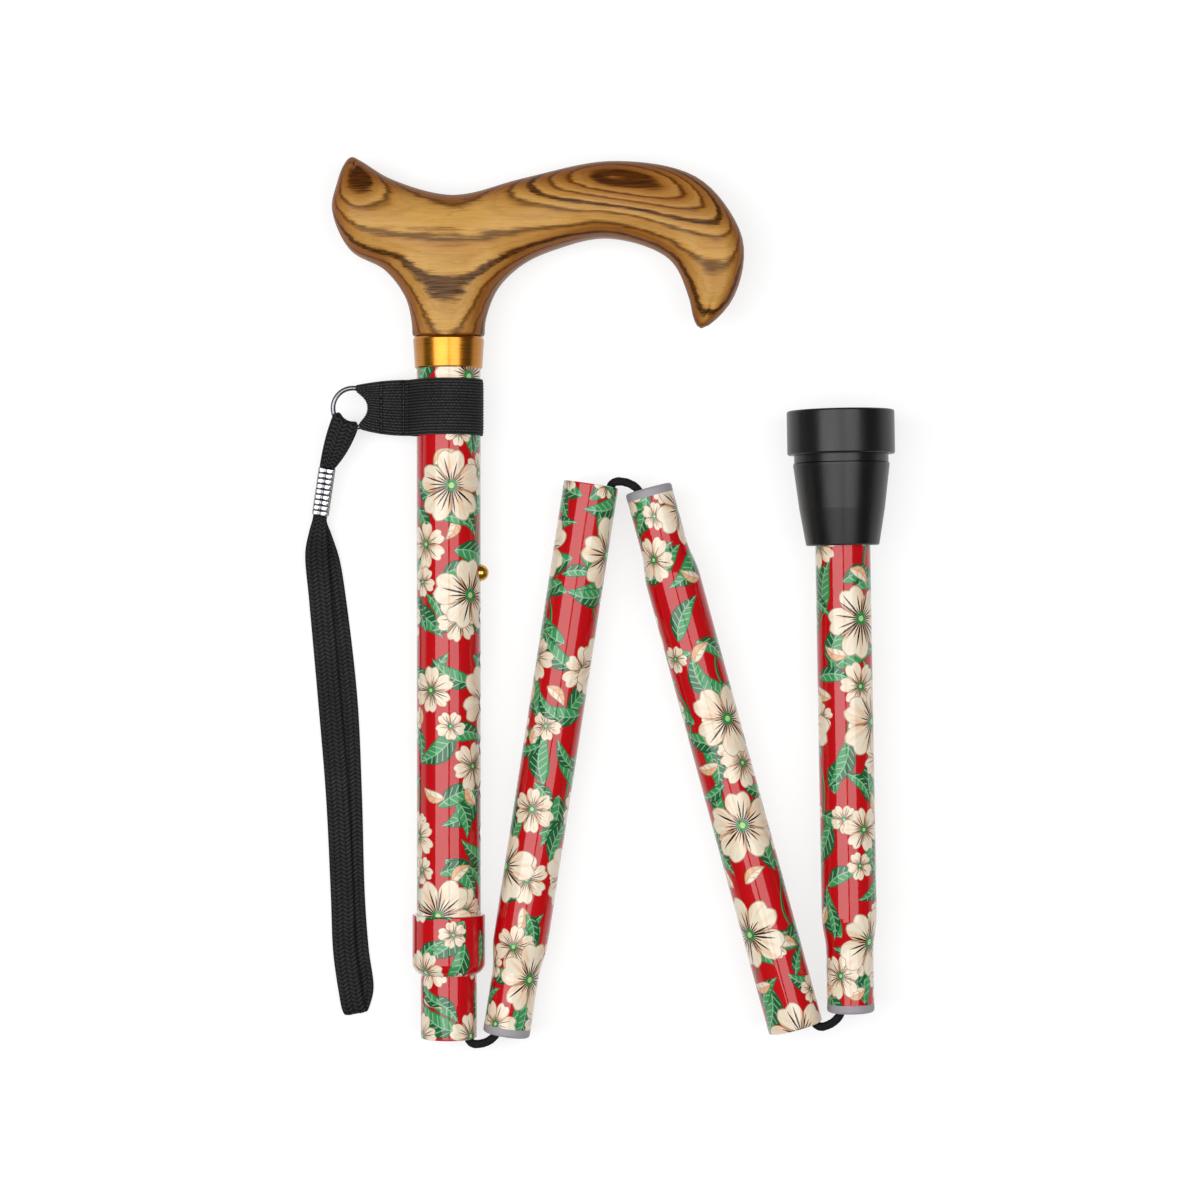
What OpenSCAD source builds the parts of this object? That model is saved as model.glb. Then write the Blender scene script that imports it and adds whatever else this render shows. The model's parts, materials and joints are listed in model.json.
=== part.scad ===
// Folding walking cane with a derby handle, laid part-folded on a table.
// Units are millimetres. The upper shaft lies along Y with the handle at +Y, the
// folded sections zig-zag towards +X, and the table is the plane z = 0.
// The cane is drawn in its own flat plane: the shaft axis is x = 0 and the lower
// edge of the collar is y = 0. That plane is then laid on the table, where it
// rests on the handle, the lock ring and the rubber tip.

/* [Handle] */
// Reach of the nose in front of the shaft axis
nose_reach = 40.4; // [34:0.1:48]
// Reach of the hook behind the shaft axis
hook_reach = 102.4; // [90:0.1:115]
// Height of the grip's hump above the collar
grip_height = 60.7; // [54:0.1:68]
// Thickness of the handle between its flat sides
handle_thickness = 26; // [25:0.5:32]
// Thickness of the handle where the nose and the hook end
handle_end_thickness = 9; // [6:0.5:14]
// Diameter of the handle's stem where it meets the collar
stem_d = 25; // [24.4:0.1:28]
// Diameter of the threaded stud in the handle
stud_d = 8; // [6:0.5:10]
// Depth of the stud in the handle
stud_depth = 30; // [20:1:40]

/* [Collar] */
// Height of the collar
collar_height = 10.8; // [8:0.1:16]
// Outside diameter of the collar at its lower edge
collar_mouth_d = 23.4; // [23.2:0.1:25]

/* [Upper shaft] */
// Outside diameter of the upper tube
upper_d = 22.2; // [21.5:0.1:22.5]
// Wall of the upper tube
upper_wall = 1.2; // [0.9:0.05:1.4]
// Length of the upper tube that shows below the collar
upper_show = 189; // [175:1:240]
// Radial clearance of the adjusting tube in the upper tube
slide_gap = 0.15; // [0.05:0.05:0.3]
// Length of the plug in the top of the upper tube
plug_length = 22; // [15:1:30]

/* [Height adjustment] */
// Distance between neighbouring adjusting holes
hole_pitch = 15; // [12:0.5:16]
// Number of adjusting holes
hole_count = 7; // [4:1:7]
// Distance of the first hole below the collar
button_drop = 70.7; // [60:0.1:75]
// Diameter of the push button
button_d = 5.8; // [4.5:0.1:7]
// Height of the push button above the tube
button_stand = 2.8; // [1.5:0.1:3.5]
// Radial clearance of the button in its holes
button_gap = 0.2; // [0.1:0.05:0.4]
// Length of the adjusting tube above the button
adjust_above = 26; // [20:1:32]
// Length of the adjusting tube that shows below the lock ring
adjust_show = 21.8; // [18:0.1:40]
// Outside diameter of the lock ring
lock_d = 25.3; // [25:0.1:28]
// Length of the lock ring
lock_length = 21.1; // [18:0.1:26]
// Overlap of the lock ring on the upper tube
lock_overlap = 9; // [6:0.5:11]

/* [Folding sections] */
// Outside diameter of the folding sections
section_d = 19.05; // [18.6:0.05:19.3]
// Wall of the folding sections
section_wall = 1.2; // [0.9:0.05:1.5]
// Length of the second and the third section
section_length = 193; // [170:1:205]
// Length of the tip section from its spigot end to the ground face
tip_reach = 207.5; // [180:0.5:220]
// Length of the swaged spigot
spigot_length = 21; // [16:0.5:28]
// Length of the cone between the spigot and the full diameter
swage_length = 12; // [8:0.5:18]
// Radial clearance of a spigot in its socket
spigot_gap = 0.175; // [0.1:0.025:0.3]
// Height of the guide bush's collar at the spigot end
bush_collar = 3; // [2:0.1:4]
// Bore of the guide bush
bush_bore = 10; // [8:0.5:11]
// Lean of the second section from the upper shaft, degrees
lean_2 = 8.8; // [8:0.1:14]
// Lean of the third section from the upper shaft, degrees
lean_3 = 15.3; // [13:0.1:20]
// Lean of the tip section from the upper shaft, degrees
lean_4 = -1; // [-3:0.1:3]
// Clearance between the sides of two sections folded against each other
fold_gap = 0.3; // [0.2:0.1:1]

/* [Elastic cord] */
// Diameter of the elastic cord
cord_d = 3; // [2:0.1:3.2]
// Distance of the upper cord anchor from the end of the adjusting tube
anchor_depth = 70; // [50:1:90]
// Length of each cord anchor plug
anchor_length = 8; // [5:0.5:12]

/* [Rubber tip] */
// Diameter of the tip's foot
foot_d = 37.1; // [33:0.1:42]
// Height of the tip's foot
foot_height = 15.2; // [10:0.1:20]
// Diameter of the tip's body just above the foot
tip_body_d = 33.2; // [30:0.1:36]
// Diameter of the tip at its mouth
tip_mouth_d = 25.3; // [23:0.1:28]
// Height of the whole tip
tip_height = 46.5; // [40:0.5:55]
// Thickness of rubber under the tube
tip_floor = 10; // [7:0.5:14]

/* [Wrist strap] */
// Width of the webbing band
band_width = 19.4; // [16:0.1:22]
// Thickness of the webbing
band_thickness = 1.1; // [0.8:0.1:1.6]
// Distance of the webbing band below the collar
band_drop = 3.8; // [2:0.1:8]
// Distance of the webbing's seam from the shaft axis
band_seam = 14.6; // [13:0.1:18]
// Distance of the steel ring's centre from the shaft axis
ring_reach = 33.3; // [31:0.1:38]
// Outside diameter of the steel ring
ring_d = 15.6; // [14:0.1:18]
// Wire diameter of the steel ring
ring_wire = 1.75; // [1.2:0.05:2.2]
// Width of the lace
lace_width = 8; // [6:0.5:9]
// Thickness of the lace
lace_thickness = 1.5; // [1:0.1:1.7]
// Width of the crimp
crimp_width = 5.9; // [5:0.1:7]
// Length of the crimp
crimp_length = 17; // [14:0.1:20]
// Thickness of the crimp
crimp_thickness = 4.4; // [3.6:0.1:5.2]

/* [Hidden] */
$fn = 96;

// Colours
wood = "#9a5a1e";
gold = "#c9a24a";
floral_red = "#b3121a";
nylon = "#1c1c1e";
steel = "#b9bcc0";
chrome = "#d4d6d9";
grey_plastic = "#77797c";
black_plastic = "#2b2b2d";
rubber = "#26262a";
brass = "#c8a048";

// Clearance of pieces that are pressed or glued together
seat = 0.05;
// Running clearance of round pieces
running = 0.1;
// Rounding of tube rims
rim_r = 0.45;
// Overshoot of a cut past the face that it opens
past = 1;

// Sizes that follow from the ones above
stem_r = stem_d / 2;
upper_r = upper_d / 2;
upper_bore_r = upper_r - upper_wall;
adjust_r = upper_bore_r - slide_gap;
section_r = section_d / 2;
socket_r = section_r - section_wall;
spigot_r = socket_r - spigot_gap;
neck_bore_r = spigot_r - section_wall;
cord_r = cord_d / 2;
lock_r = lock_d / 2;
foot_r = foot_d / 2;

// Stations along the upper shaft, measured up from the collar's lower edge
flange_thickness = 1.5;
tube_top = collar_height - flange_thickness;
lock_top = -upper_show;
lock_foot = lock_top - lock_length;
tube_foot = lock_top - lock_overlap;
adjust_top = -button_drop + adjust_above;
adjust_foot = lock_foot - adjust_show;
button_y = -button_drop;
band_y = -band_drop - band_width / 2;
anchor_y = adjust_foot + anchor_depth;

// Folds. A section's heading is its turn clockwise from +Y, from its spigot end
// to its far end. At each fold a pivot lies just outside both tubes, so that the
// opened sections come into one line.
function dir(a) = [sin(a), cos(a)];
function side(a) = [cos(a), -sin(a)];
heads = [180, lean_2, 180 - lean_3, lean_4];
hands = [-1, 1, -1];
section_pivot = section_r + fold_gap / 2;
pivot_out = [(adjust_r + section_r + fold_gap) / 2, section_pivot, section_pivot];
// Distance of the pivot beyond a socket's rim, and of a spigot's rim beyond the pivot
socket_lead = 0.3;
spigot_lead = 3;
function fold_at(f, i) = f + dir(heads[i]) * socket_lead + hands[i] * side(heads[i]) * pivot_out[i];
function next_end(f, i) =
  fold_at(f, i) - hands[i] * side(heads[i + 1]) * pivot_out[i] + dir(heads[i + 1]) * spigot_lead;
end_1 = [0, adjust_foot];
fold_1 = fold_at(end_1, 0);
start_2 = next_end(end_1, 0);
end_2 = start_2 + dir(heads[1]) * section_length;
fold_2 = fold_at(end_2, 1);
start_3 = next_end(end_2, 1);
end_3 = start_3 + dir(heads[2]) * section_length;
fold_3 = fold_at(end_3, 2);
start_4 = next_end(end_3, 2);
ground_at = start_4 + dir(heads[3]) * tip_reach;
tube_4_length = tip_reach - tip_floor;
// Rise of the lower cord anchor above the rubber tip's mouth
anchor_rise = 12;
lower_anchor_at = tip_reach - tip_height - anchor_rise;

// Helpers on points
function mix(a, b, f) = a + (b - a) * f;
function unit(v) = v / norm(v);
function flat(rows) = [for (r = rows) each r];
// Curve through points, with knots spaced by the root of the chord
function hop(a, b) = pow(max(norm(b - a), 0.001), 0.5);
function curve_at(a, b, c, d, f) =
  let (u = hop(a, b), v = u + hop(b, c), w = v + hop(c, d), t = mix(u, v, f),
       p = mix(a, b, t / u), q = mix(b, c, (t - u) / (v - u)), r = mix(c, d, (t - v) / (w - v)),
       m = mix(p, q, t / v), n = mix(q, r, (t - u) / (w - u)))
  mix(m, n, (t - u) / (v - u));
function span(p, i, steps) =
  let (last = len(p) - 1,
       a = i > 0 ? p[i - 1] : 2 * p[0] - p[1],
       d = i < last - 1 ? p[i + 2] : 2 * p[last] - p[last - 1])
  [for (k = [0 : steps - 1]) curve_at(a, p[i], p[i + 1], d, k / steps)];
function curve(p, steps) =
  concat(flat([for (i = [0 : len(p) - 2]) span(p, i, steps)]), [p[len(p) - 1]]);
// The same line with n equal steps
function lengths(p, i = 0, sum = 0) =
  i == len(p) - 1 ? [sum] : concat([sum], lengths(p, i + 1, sum + norm(p[i + 1] - p[i])));
function even(p, n) =
  let (s = lengths(p), all = s[len(s) - 1],
       along = [for (c = [0 : len(p[0]) - 1]) [for (i = [0 : len(p) - 1]) [s[i], p[i][c]]]])
  [for (j = [0 : n]) [for (t = along) lookup(all * j / n, t)]];

// Closed skin through rings of equal count
module skin(rings) {
  n = len(rings[0]);
  m = len(rings);
  polyhedron(
    points = flat(rings),
    faces = concat(
      [[for (k = [n - 1 : -1 : 0]) k]],
      [[for (k = [0 : n - 1]) (m - 1) * n + k]],
      flat([for (i = [0 : m - 2], k = [0 : n - 1])
        let (a = i * n + k, b = i * n + (k + 1) % n)
        [[a, b, b + n], [a, b + n, a + n]]])));
}

// Handle. Its outline runs up the front of the stem, round the nose, over the
// saddle and the hump, round the hook and down the back of the stem. Numbers are
// shares of the nose's or the hook's reach, and of the grip's height.
function on_handle(x, y) = [x * (x < 0 ? nose_reach : hook_reach), y * grip_height];
stem_swell = 1.03;
nose_rise = 1.035;
front_stem = [
  [-stem_r, 0], [-stem_swell * stem_r, 0.1 * grip_height],
  on_handle(-0.374, 0.234), on_handle(-0.554, 0.389)];
front_nose = [
  on_handle(-0.847, 0.502), on_handle(-1, 0.731), on_handle(-0.96, 0.873),
  on_handle(-0.902, 0.985), on_handle(-0.84, nose_rise)];
top_nose = [on_handle(-0.757, 1.012), on_handle(-0.485, 0.903), on_handle(0.022, 0.811)];
top_hook = [
  on_handle(0.252, 0.903), on_handle(0.563, 1), on_handle(0.845, 0.903), on_handle(0.983, 0.616),
  on_handle(1, 0.445), on_handle(0.963, 0.217), on_handle(0.894, 0.081), on_handle(0.852, 0.04)];
under_hook = [
  on_handle(0.83, 0.096), on_handle(0.812, 0.227), on_handle(0.746, 0.445),
  on_handle(0.54, 0.565), on_handle(0.36, 0.502), on_handle(0.251, 0.417)];
back_stem = [on_handle(0.167, 0.28), [stem_swell * stem_r, 0.1 * grip_height], [stem_r, 0]];
outline_marks = [front_stem, front_nose, top_nose, top_hook, under_hook, back_stem];
outline = concat(front_stem, front_nose, top_nose, top_hook, under_hook, back_stem);
// Ribs on each arm of the handle, and steps from its edge to its ridge
arm_ribs = 16;
rib_steps = 8;
fine = 8;
smooth_outline = curve(outline, fine);
function mark(i) = i < 0 ? 0 : mark(i - 1) + len(outline_marks[i]);
function stretch(i) =
  let (a = i == 0 ? 0 : (mark(i - 1) - 1) * fine, b = (mark(i) - 1) * fine)
  even([for (k = [a : b]) smooth_outline[k]], arm_ribs);
stretches = [for (i = [0 : 5]) stretch(i)];
rim = concat(
  flat([for (i = [0 : 5]) [for (k = [0 : arm_ribs - 1]) stretches[i][k]]]),
  [stretches[5][arm_ribs]]);
middle = on_handle(0.01, 0.54);
// The ridge stops short of the ends of the nose and the hook
nose_inset = [0.06 * nose_reach, -0.06 * grip_height];
hook_inset = [0.0215 * hook_reach, 0.082 * grip_height];
// Ridge line of an arm, from the middle of the handle to the arm's end
function ridge(near, far, inset) =
  let (n = arm_ribs, first = (near[0] + far[0]) / 2)
  [for (j = [0 : n]) let (u = j / n)
    (near[j] + far[j]) / 2 + (middle - first) * pow(1 - u, 3) + inset * pow(u, 3)];
function back(p) = [for (i = [len(p) - 1 : -1 : 0]) p[i]];
stem_ridge = ridge(back(stretches[0]), stretches[5], [0, 0]);
nose_ridge = ridge(stretches[1], back(stretches[2]), nose_inset);
hook_ridge = ridge(stretches[3], back(stretches[4]), hook_inset);
// Half thickness and squareness of the ribs along an arm
half = handle_thickness / 2;
end_half = handle_end_thickness / 2;
function stem_half(u) = mix(half, stem_r, u * u * (3 - 2 * u));
function end_taper(u) = end_half + (half - end_half) * pow(1 - pow(u, 3), 0.6);
function rib_of(i) =
  let (n = arm_ribs)
  i <= n ? [0, n - i] : i <= 2 * n ? [1, i - n] : i <= 3 * n ? [1, 3 * n - i] :
  i <= 4 * n ? [2, i - 3 * n] : i <= 5 * n ? [2, 5 * n - i] : [0, i - 5 * n];
function ridge_point(r) = [stem_ridge, nose_ridge, hook_ridge][r[0]][r[1]];
function ridge_half(r) = let (u = r[1] / arm_ribs) r[0] == 0 ? stem_half(u) : end_taper(u);
function squareness(r) = let (u = r[1] / arm_ribs) 2.6 - 0.6 * (r[0] == 0 ? u * u : pow(u, 4));
function rib_point(i, f) =
  let (r = rib_of(i), o = rim[i], s = ridge_point(r), h = ridge_half(r), e = 2 / squareness(r),
       p = mix(s, o, pow(cos(f), e)))
  [p.x, p.y + collar_height, sign(f) * h * pow(abs(sin(f)), e)];
rim_count = 6 * arm_ribs + 1;
level_count = 2 * rib_steps - 1;
ridge_count = 3 * arm_ribs + 1;
function ridge_index(r) = r[1] == 0 ? 0 : r[0] * arm_ribs + r[1];
ridge_ribs = concat([[0, 0]], [for (a = [0 : 2], j = [1 : arm_ribs]) [a, j]]);
function ridge_xyz(r, up) = let (p = ridge_point(r)) [p.x, p.y + collar_height, up * ridge_half(r)];
handle_points = concat(
  [for (k = [1 : level_count], i = [0 : rim_count - 1]) rib_point(i, 90 * (k - rib_steps) / rib_steps)],
  [for (r = ridge_ribs) ridge_xyz(r, -1)],
  [for (r = ridge_ribs) ridge_xyz(r, 1)]);
function level_index(k, i) =
  k == 0 ? level_count * rim_count + ridge_index(rib_of(i)) :
  k == 2 * rib_steps ? level_count * rim_count + ridge_count + ridge_index(rib_of(i)) :
  (k - 1) * rim_count + i;
handle_faces = concat(
  flat([for (k = [0 : 2 * rib_steps - 1], i = [0 : rim_count - 2])
    let (a = level_index(k, i), b = level_index(k, i + 1),
         c = level_index(k + 1, i + 1), d = level_index(k + 1, i))
    k == 0 ? [[a, c, d], [a, b, c]] : [[a, b, d], [b, c, d]]]),
  [concat([for (k = [0 : 2 * rib_steps]) level_index(k, 0)],
          [for (k = [2 * rib_steps - 1 : -1 : 1]) level_index(k, rim_count - 1)])]);

// How the cane's plane lies: two small tilts that bring the handle, the lock
// ring and the rubber tip down to the table together.
foot_mid = ground_at - dir(heads[3]) * foot_height / 2;
function rise(p, lay) = p.x * sin(lay[0]) + (p.y * sin(lay[1]) + p.z * cos(lay[1])) * cos(lay[0]);
function handle_low(lay) = min([for (p = handle_points) rise(p, lay)]);
function settle(lay, n) =
  let (low = handle_low(lay))
  n == 0 ? lay :
  settle([asin((foot_r + low - foot_mid.y * sin(lay[1])) / foot_mid.x),
          asin((low + lock_r) / (lock_top - lock_length / 3))], n - 1);
lay = settle([2, 0], 12);
tilt = lay[0];
pitch = lay[1];
lift = -handle_low(lay);

// The origin is under the middle of the cane, on the table
link_proud = 3;
x_mid = (ground_at.x + cos(heads[3]) * foot_r - ring_reach - ring_d / 2) / 2;
y_mid = (nose_rise * grip_height + collar_height + adjust_foot - link_proud) / 2;
function laid(p) =
  let (y = p.y * cos(pitch) - p.z * sin(pitch), z = p.y * sin(pitch) + p.z * cos(pitch))
  [p.x * cos(tilt) - z * sin(tilt) - x_mid, y - y_mid, p.x * sin(tilt) + z * cos(tilt) + lift];
module lay_down() {
  translate([-x_mid, -y_mid, lift]) rotate([pitch, -tilt, 0]) children();
}
// Upper shaft frame: local z runs up the shaft from a station
module on_shaft(y) {
  lay_down() translate([0, y, 0]) rotate([-90, 0, 0]) children();
}
// Section frame: local z runs from the spigot end, local x to the heading's side
module on_section(start, a) {
  lay_down() translate([start.x, start.y, 0]) rotate([0, 0, -a]) rotate([-90, 0, 0]) children();
}
// Straight round rod between two points of the plane
module rod(p, q, d) {
  lay_down() translate([p.x, p.y, 0]) rotate([0, 0, -atan2(q.x - p.x, q.y - p.y)]) rotate([-90, 0, 0])
    cylinder(d = d, h = norm(q - p));
}
// Pipe with rounded rims, from z = 0
module pipe(r, bore, h) {
  rotate_extrude() difference() {
    translate([bore, 0]) square([r - bore, h]);
    for (z = [0, h]) translate([r, z]) rim_cut(-1, z > 0 ? -1 : 1);
  }
}
// Corner outside a rim's rounding
module rim_cut(sx, sy) {
  difference() {
    translate([min(0, sx * rim_r), min(0, sy * rim_r)]) square(rim_r);
    translate([sx * rim_r, sy * rim_r]) circle(rim_r);
  }
}

// Handle and its fastening
module handle() {
  color(wood) lay_down() difference() {
    polyhedron(points = handle_points, faces = handle_faces);
    translate([0, collar_height - past, 0]) rotate([-90, 0, 0])
      cylinder(d = stud_d + 2 * seat, h = stud_depth + 2 * past);
  }
}
// Nut on the stud, and the stud's end below it
nut_height = 0.8 * stud_d;
nut_across = 1.62 * stud_d;
stud_end = 2;
module handle_stud() {
  foot = collar_height - plug_length - nut_height - stud_end;
  color(steel) on_shaft(foot) cylinder(d = stud_d, h = collar_height + stud_depth - foot);
}
module stud_nut() {
  color(steel) on_shaft(collar_height - plug_length - nut_height) difference() {
    cylinder(d = nut_across, h = nut_height, $fn = 6);
    translate([0, 0, -past]) cylinder(d = stud_d + 2 * seat, h = nut_height + 2 * past);
  }
}
module top_plug() {
  color(black_plastic) on_shaft(collar_height - plug_length) difference() {
    union() {
      cylinder(r = upper_bore_r - seat, h = plug_length);
      translate([0, 0, plug_length - flange_thickness]) cylinder(r = upper_r, h = flange_thickness);
    }
    translate([0, 0, -past]) cylinder(d = stud_d + 2 * seat, h = plug_length + 2 * past);
  }
}
// Chamfer at the collar's edges
collar_chamfer = 0.4;
module collar() {
  bore = upper_r + seat;
  mouth = collar_mouth_d / 2;
  top = stem_r - collar_chamfer / 2;
  color(gold) on_shaft(0) rotate_extrude() polygon([
    [bore, 0], [mouth - collar_chamfer, 0], [mouth, collar_chamfer], [top, collar_height - 2 * collar_chamfer],
    [top - collar_chamfer, collar_height], [bore, collar_height]]);
}

// Upper shaft
module button_hole(y) {
  translate([0, y, 0]) rotate([0, 90, 0]) cylinder(d = button_d + 2 * button_gap, h = upper_r + past);
}
module upper_tube() {
  color(floral_red) lay_down() difference() {
    translate([0, tube_foot, 0]) rotate([-90, 0, 0]) difference() {
      cylinder(r = upper_r, h = tube_top - tube_foot);
      translate([0, 0, -past]) cylinder(r = upper_bore_r, h = tube_top - tube_foot + 2 * past);
    }
    for (i = [0 : hole_count - 1]) button_hole(button_y - i * hole_pitch);
  }
}
// Clamping collet. The lock ring's cone squeezes its slit foot on the adjusting tube
cone_height = 4.5;
collet_gap = 2;
collet_slit = 1.2;
collet_band = 3;
collet_edge = 0.5;
collet_length = lock_length - lock_overlap - collet_gap;
module clamp_collet() {
  out = upper_r - running;
  inner = adjust_r + running;
  color(black_plastic) on_shaft(tube_foot - collet_length) difference() {
    rotate_extrude() polygon([
      [inner, 0], [inner + collet_edge, 0], [out, cone_height - collet_gap + collet_edge],
      [out, collet_length], [inner, collet_length]]);
    for (a = [30 : 60 : 150]) rotate(a)
      translate([-upper_r, -collet_slit / 2, -past])
        cube([upper_d, collet_slit, collet_length - collet_band + past]);
  }
}
// Lock ring: round foot, rolled rim at the top, and a cone inside
lock_floor = 1.2;
lock_rim = 0.6;
module lock_ring() {
  mouth = adjust_r + 2 * running;
  bore = upper_r + running;
  color(floral_red) on_shaft(lock_foot) rotate_extrude() difference() {
    union() {
      translate([mouth, 0]) square([lock_r - cone_height - mouth + lock_rim, lock_length / 2]);
      translate([mouth, cone_height]) square([lock_r - mouth, lock_length - cone_height - lock_rim]);
      translate([mouth, lock_length - 2 * lock_rim]) square([lock_r - lock_rim - mouth, 2 * lock_rim]);
      translate([lock_r - lock_rim, lock_length - lock_rim]) circle(lock_rim);
      intersection() {
        translate([lock_r - cone_height, cone_height]) circle(cone_height);
        translate([mouth, 0]) square([lock_r, lock_length]);
      }
    }
    polygon([
      [0, lock_floor], [mouth + collet_edge, lock_floor], [bore, cone_height + collet_gap / 2],
      [bore, lock_length + past], [0, lock_length + past]]);
    square([mouth, lock_length]);
  }
}

// Height-adjusting tube
module adjust_tube() {
  color(floral_red) lay_down() difference() {
    translate([0, adjust_foot, 0]) rotate([-90, 0, 0]) pipe(adjust_r, socket_r, adjust_top - adjust_foot);
    button_hole(button_y);
  }
}
// Guide bush at the top of the adjusting tube
glide_depth = 8;
glide_rim = 2.5;
glide_wall = 2.2;
module glide_bush() {
  color(grey_plastic) on_shaft(adjust_top - glide_depth) difference() {
    union() {
      cylinder(r = socket_r - seat, h = glide_depth);
      translate([0, 0, glide_depth]) cylinder(r = upper_bore_r - running, h = glide_rim);
    }
    translate([0, 0, -past]) cylinder(r = socket_r - glide_wall, h = glide_depth + glide_rim + 2 * past);
  }
}
// Push button, with a flange that stops it inside the adjusting tube
button_flange = 0.8;
flange_height = 1;
button_base = sqrt(pow(socket_r, 2) - pow(button_d / 2 + button_flange, 2)) - running;
module lock_button() {
  r = button_d / 2;
  tip = upper_r + button_stand;
  color(brass) lay_down() translate([0, button_y, 0]) rotate([0, 90, 0]) rotate_extrude() union() {
    translate([0, button_base - flange_height]) square([r + button_flange, flange_height]);
    translate([0, button_base - flange_height]) square([r, tip - r - button_base + flange_height]);
    intersection() {
      translate([0, tip - r]) circle(r);
      translate([0, tip - r]) square(r);
    }
  }
}
// V-shaped leaf spring behind the button
leaf = 0.6;
// Straight stretch of leaf spring between two points of the plane
module leaf_run(p, q) {
  translate([p.x, p.y, 0]) rotate([0, 0, atan2(q.y - p.y, q.x - p.x)])
    translate([0, -leaf / 2, -button_d / 2]) cube([norm(q - p), leaf, button_d]);
}
module leaf_bend(p) {
  translate([p.x, p.y, -button_d / 2]) cylinder(d = leaf, h = button_d, $fn = 32);
}
module button_spring() {
  wall = sqrt(pow(socket_r, 2) - pow(button_d / 2, 2)) - leaf / 2 - running;
  pad = button_base - flange_height - leaf / 2 - seat;
  path = [
    [pad, -0.7 * button_d], [pad, button_d], [leaf, 2.75 * button_d],
    [-2 * leaf, 2.85 * button_d], [-wall, 0.7 * button_d], [-wall + 2 * leaf, -button_d]];
  color(steel) lay_down() translate([0, button_y, 0]) {
    for (i = [0 : len(path) - 2]) leaf_run(path[i], path[i + 1]);
    for (p = path) leaf_bend(p);
  }
}

// Elastic cord. In a socket it hugs the wall beside the pivot, in a spigot it
// hugs the guide bush's bore, and at each fold it arches over both rims.
link_depth = 6;
cord_gap = 0.2;
socket_hug = [for (d = pivot_out) d - socket_r + cord_r + cord_gap];
bush_hug = [for (d = pivot_out) d - bush_bore / 2 + cord_r + cord_gap];
function in_socket(f, i, away, out) =
  f - hands[i] * side(heads[i]) * away + dir(heads[i]) * (out - socket_lead);
function in_spigot(f, i, away, out) =
  f - hands[i] * side(heads[i + 1]) * away + dir(heads[i + 1]) * (spigot_lead - out);
folds = [fold_1, fold_2, fold_3];
function socket_cord(i) = in_socket(folds[i], i, socket_hug[i], -link_depth);
function spigot_cord(i) = in_spigot(folds[i], i, bush_hug[i], -link_depth);
module cord_link(i) {
  a = socket_hug[i];
  b = bush_hug[i];
  route = curve([
    socket_cord(i), in_socket(folds[i], i, a, -0.6), in_socket(folds[i], i, a - 0.75, cord_r - 0.2),
    in_socket(folds[i], i, 1, cord_r + 0.45), in_spigot(folds[i], i, b - 3.2, cord_r + 2.3),
    in_spigot(folds[i], i, b - 0.7, cord_r - 0.1), in_spigot(folds[i], i, b, -0.6), spigot_cord(i)], 4);
  last = len(route) - 1;
  color(nylon) lay_down() skin([for (k = [0 : last])
    let (t = unit(route[min(k + 1, last)] - route[max(k - 1, 0)]), p = route[k])
    [for (q = [0 : 45 : 315])
      [p.x + t.y * cord_r * cos(q), p.y - t.x * cord_r * cos(q), cord_r * sin(q)]]]);
}
module cord_link_1() cord_link(0);
module cord_link_2() cord_link(1);
module cord_link_3() cord_link(2);
// Hole through an anchor, wide enough for the cord's slant, and the knot that it stops
cord_slant = (socket_r - cord_r - cord_gap) * (anchor_length + cord_d) / (anchor_depth - link_depth);
anchor_hole_r = cord_r + cord_gap + cord_slant;
knot_r = anchor_hole_r + cord_r / 2;
knot_rest = sqrt(pow(knot_r, 2) - pow(anchor_hole_r, 2)) + seat;
// Point a small step from p towards q, where a run starts clear of the arch at a fold
function clear_of(p, q) = p + unit(q - p) * cord_gap;
// Straight run of cord between two arches
module cord_run(p, q) {
  rod(clear_of(p, q), clear_of(q, p), cord_d);
}
// Run of cord from an arch through an anchor, where a knot stops it
module cord_end(p, anchor, heading) {
  knot_at = anchor + dir(heading) * (anchor_length + knot_rest);
  rod(clear_of(p, knot_at), knot_at, cord_d);
  lay_down() translate([knot_at.x, knot_at.y, 0]) sphere(knot_r);
}
module elastic_1() color(nylon) cord_end(socket_cord(0), [0, anchor_y], 0);
module elastic_2() color(nylon) cord_run(spigot_cord(0), socket_cord(1));
module elastic_3() color(nylon) cord_run(spigot_cord(1), socket_cord(2));
module elastic_4()
  color(nylon) cord_end(spigot_cord(2), start_4 + dir(heads[3]) * lower_anchor_at, heads[3]);
// Plug with a hole that the cord passes through, from z = 0
module anchor_plug() {
  difference() {
    cylinder(r = socket_r - seat, h = anchor_length);
    translate([0, 0, -past]) cylinder(r = anchor_hole_r, h = anchor_length + 2 * past);
  }
}
module upper_anchor() color(grey_plastic) on_shaft(anchor_y) anchor_plug();
module lower_anchor()
  color(grey_plastic) on_section(start_4, heads[3]) translate([0, 0, lower_anchor_at]) anchor_plug();

// Folding sections
swage_steps = 10;
function swage(f) = (1 - cos(180 * f)) / 2;
module section_tube(h, rim) {
  line = [for (k = [0 : swage_steps]) let (f = k / swage_steps)
    [mix(spigot_r, section_r, swage(f)), spigot_length + swage_length * f]];
  rolled = [[section_r, h - rim_r], [section_r - 0.3 * rim_r, h - 0.3 * rim_r], [section_r - rim_r, h]];
  far = rim ? rolled : [[section_r, h]];
  color(floral_red) rotate_extrude() polygon(concat(
    [[neck_bore_r, bush_collar], [spigot_r, bush_collar]], line, far,
    [[socket_r, h]],
    [for (k = [swage_steps : -1 : 0]) [line[k].x - section_wall, line[k].y]]));
}
module section_2_tube() on_section(start_2, heads[1]) section_tube(section_length, true);
module section_3_tube() on_section(start_3, heads[2]) section_tube(section_length, true);
module section_4_tube() on_section(start_4, heads[3]) section_tube(tube_4_length, false);
bush_depth = 16;
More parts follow.
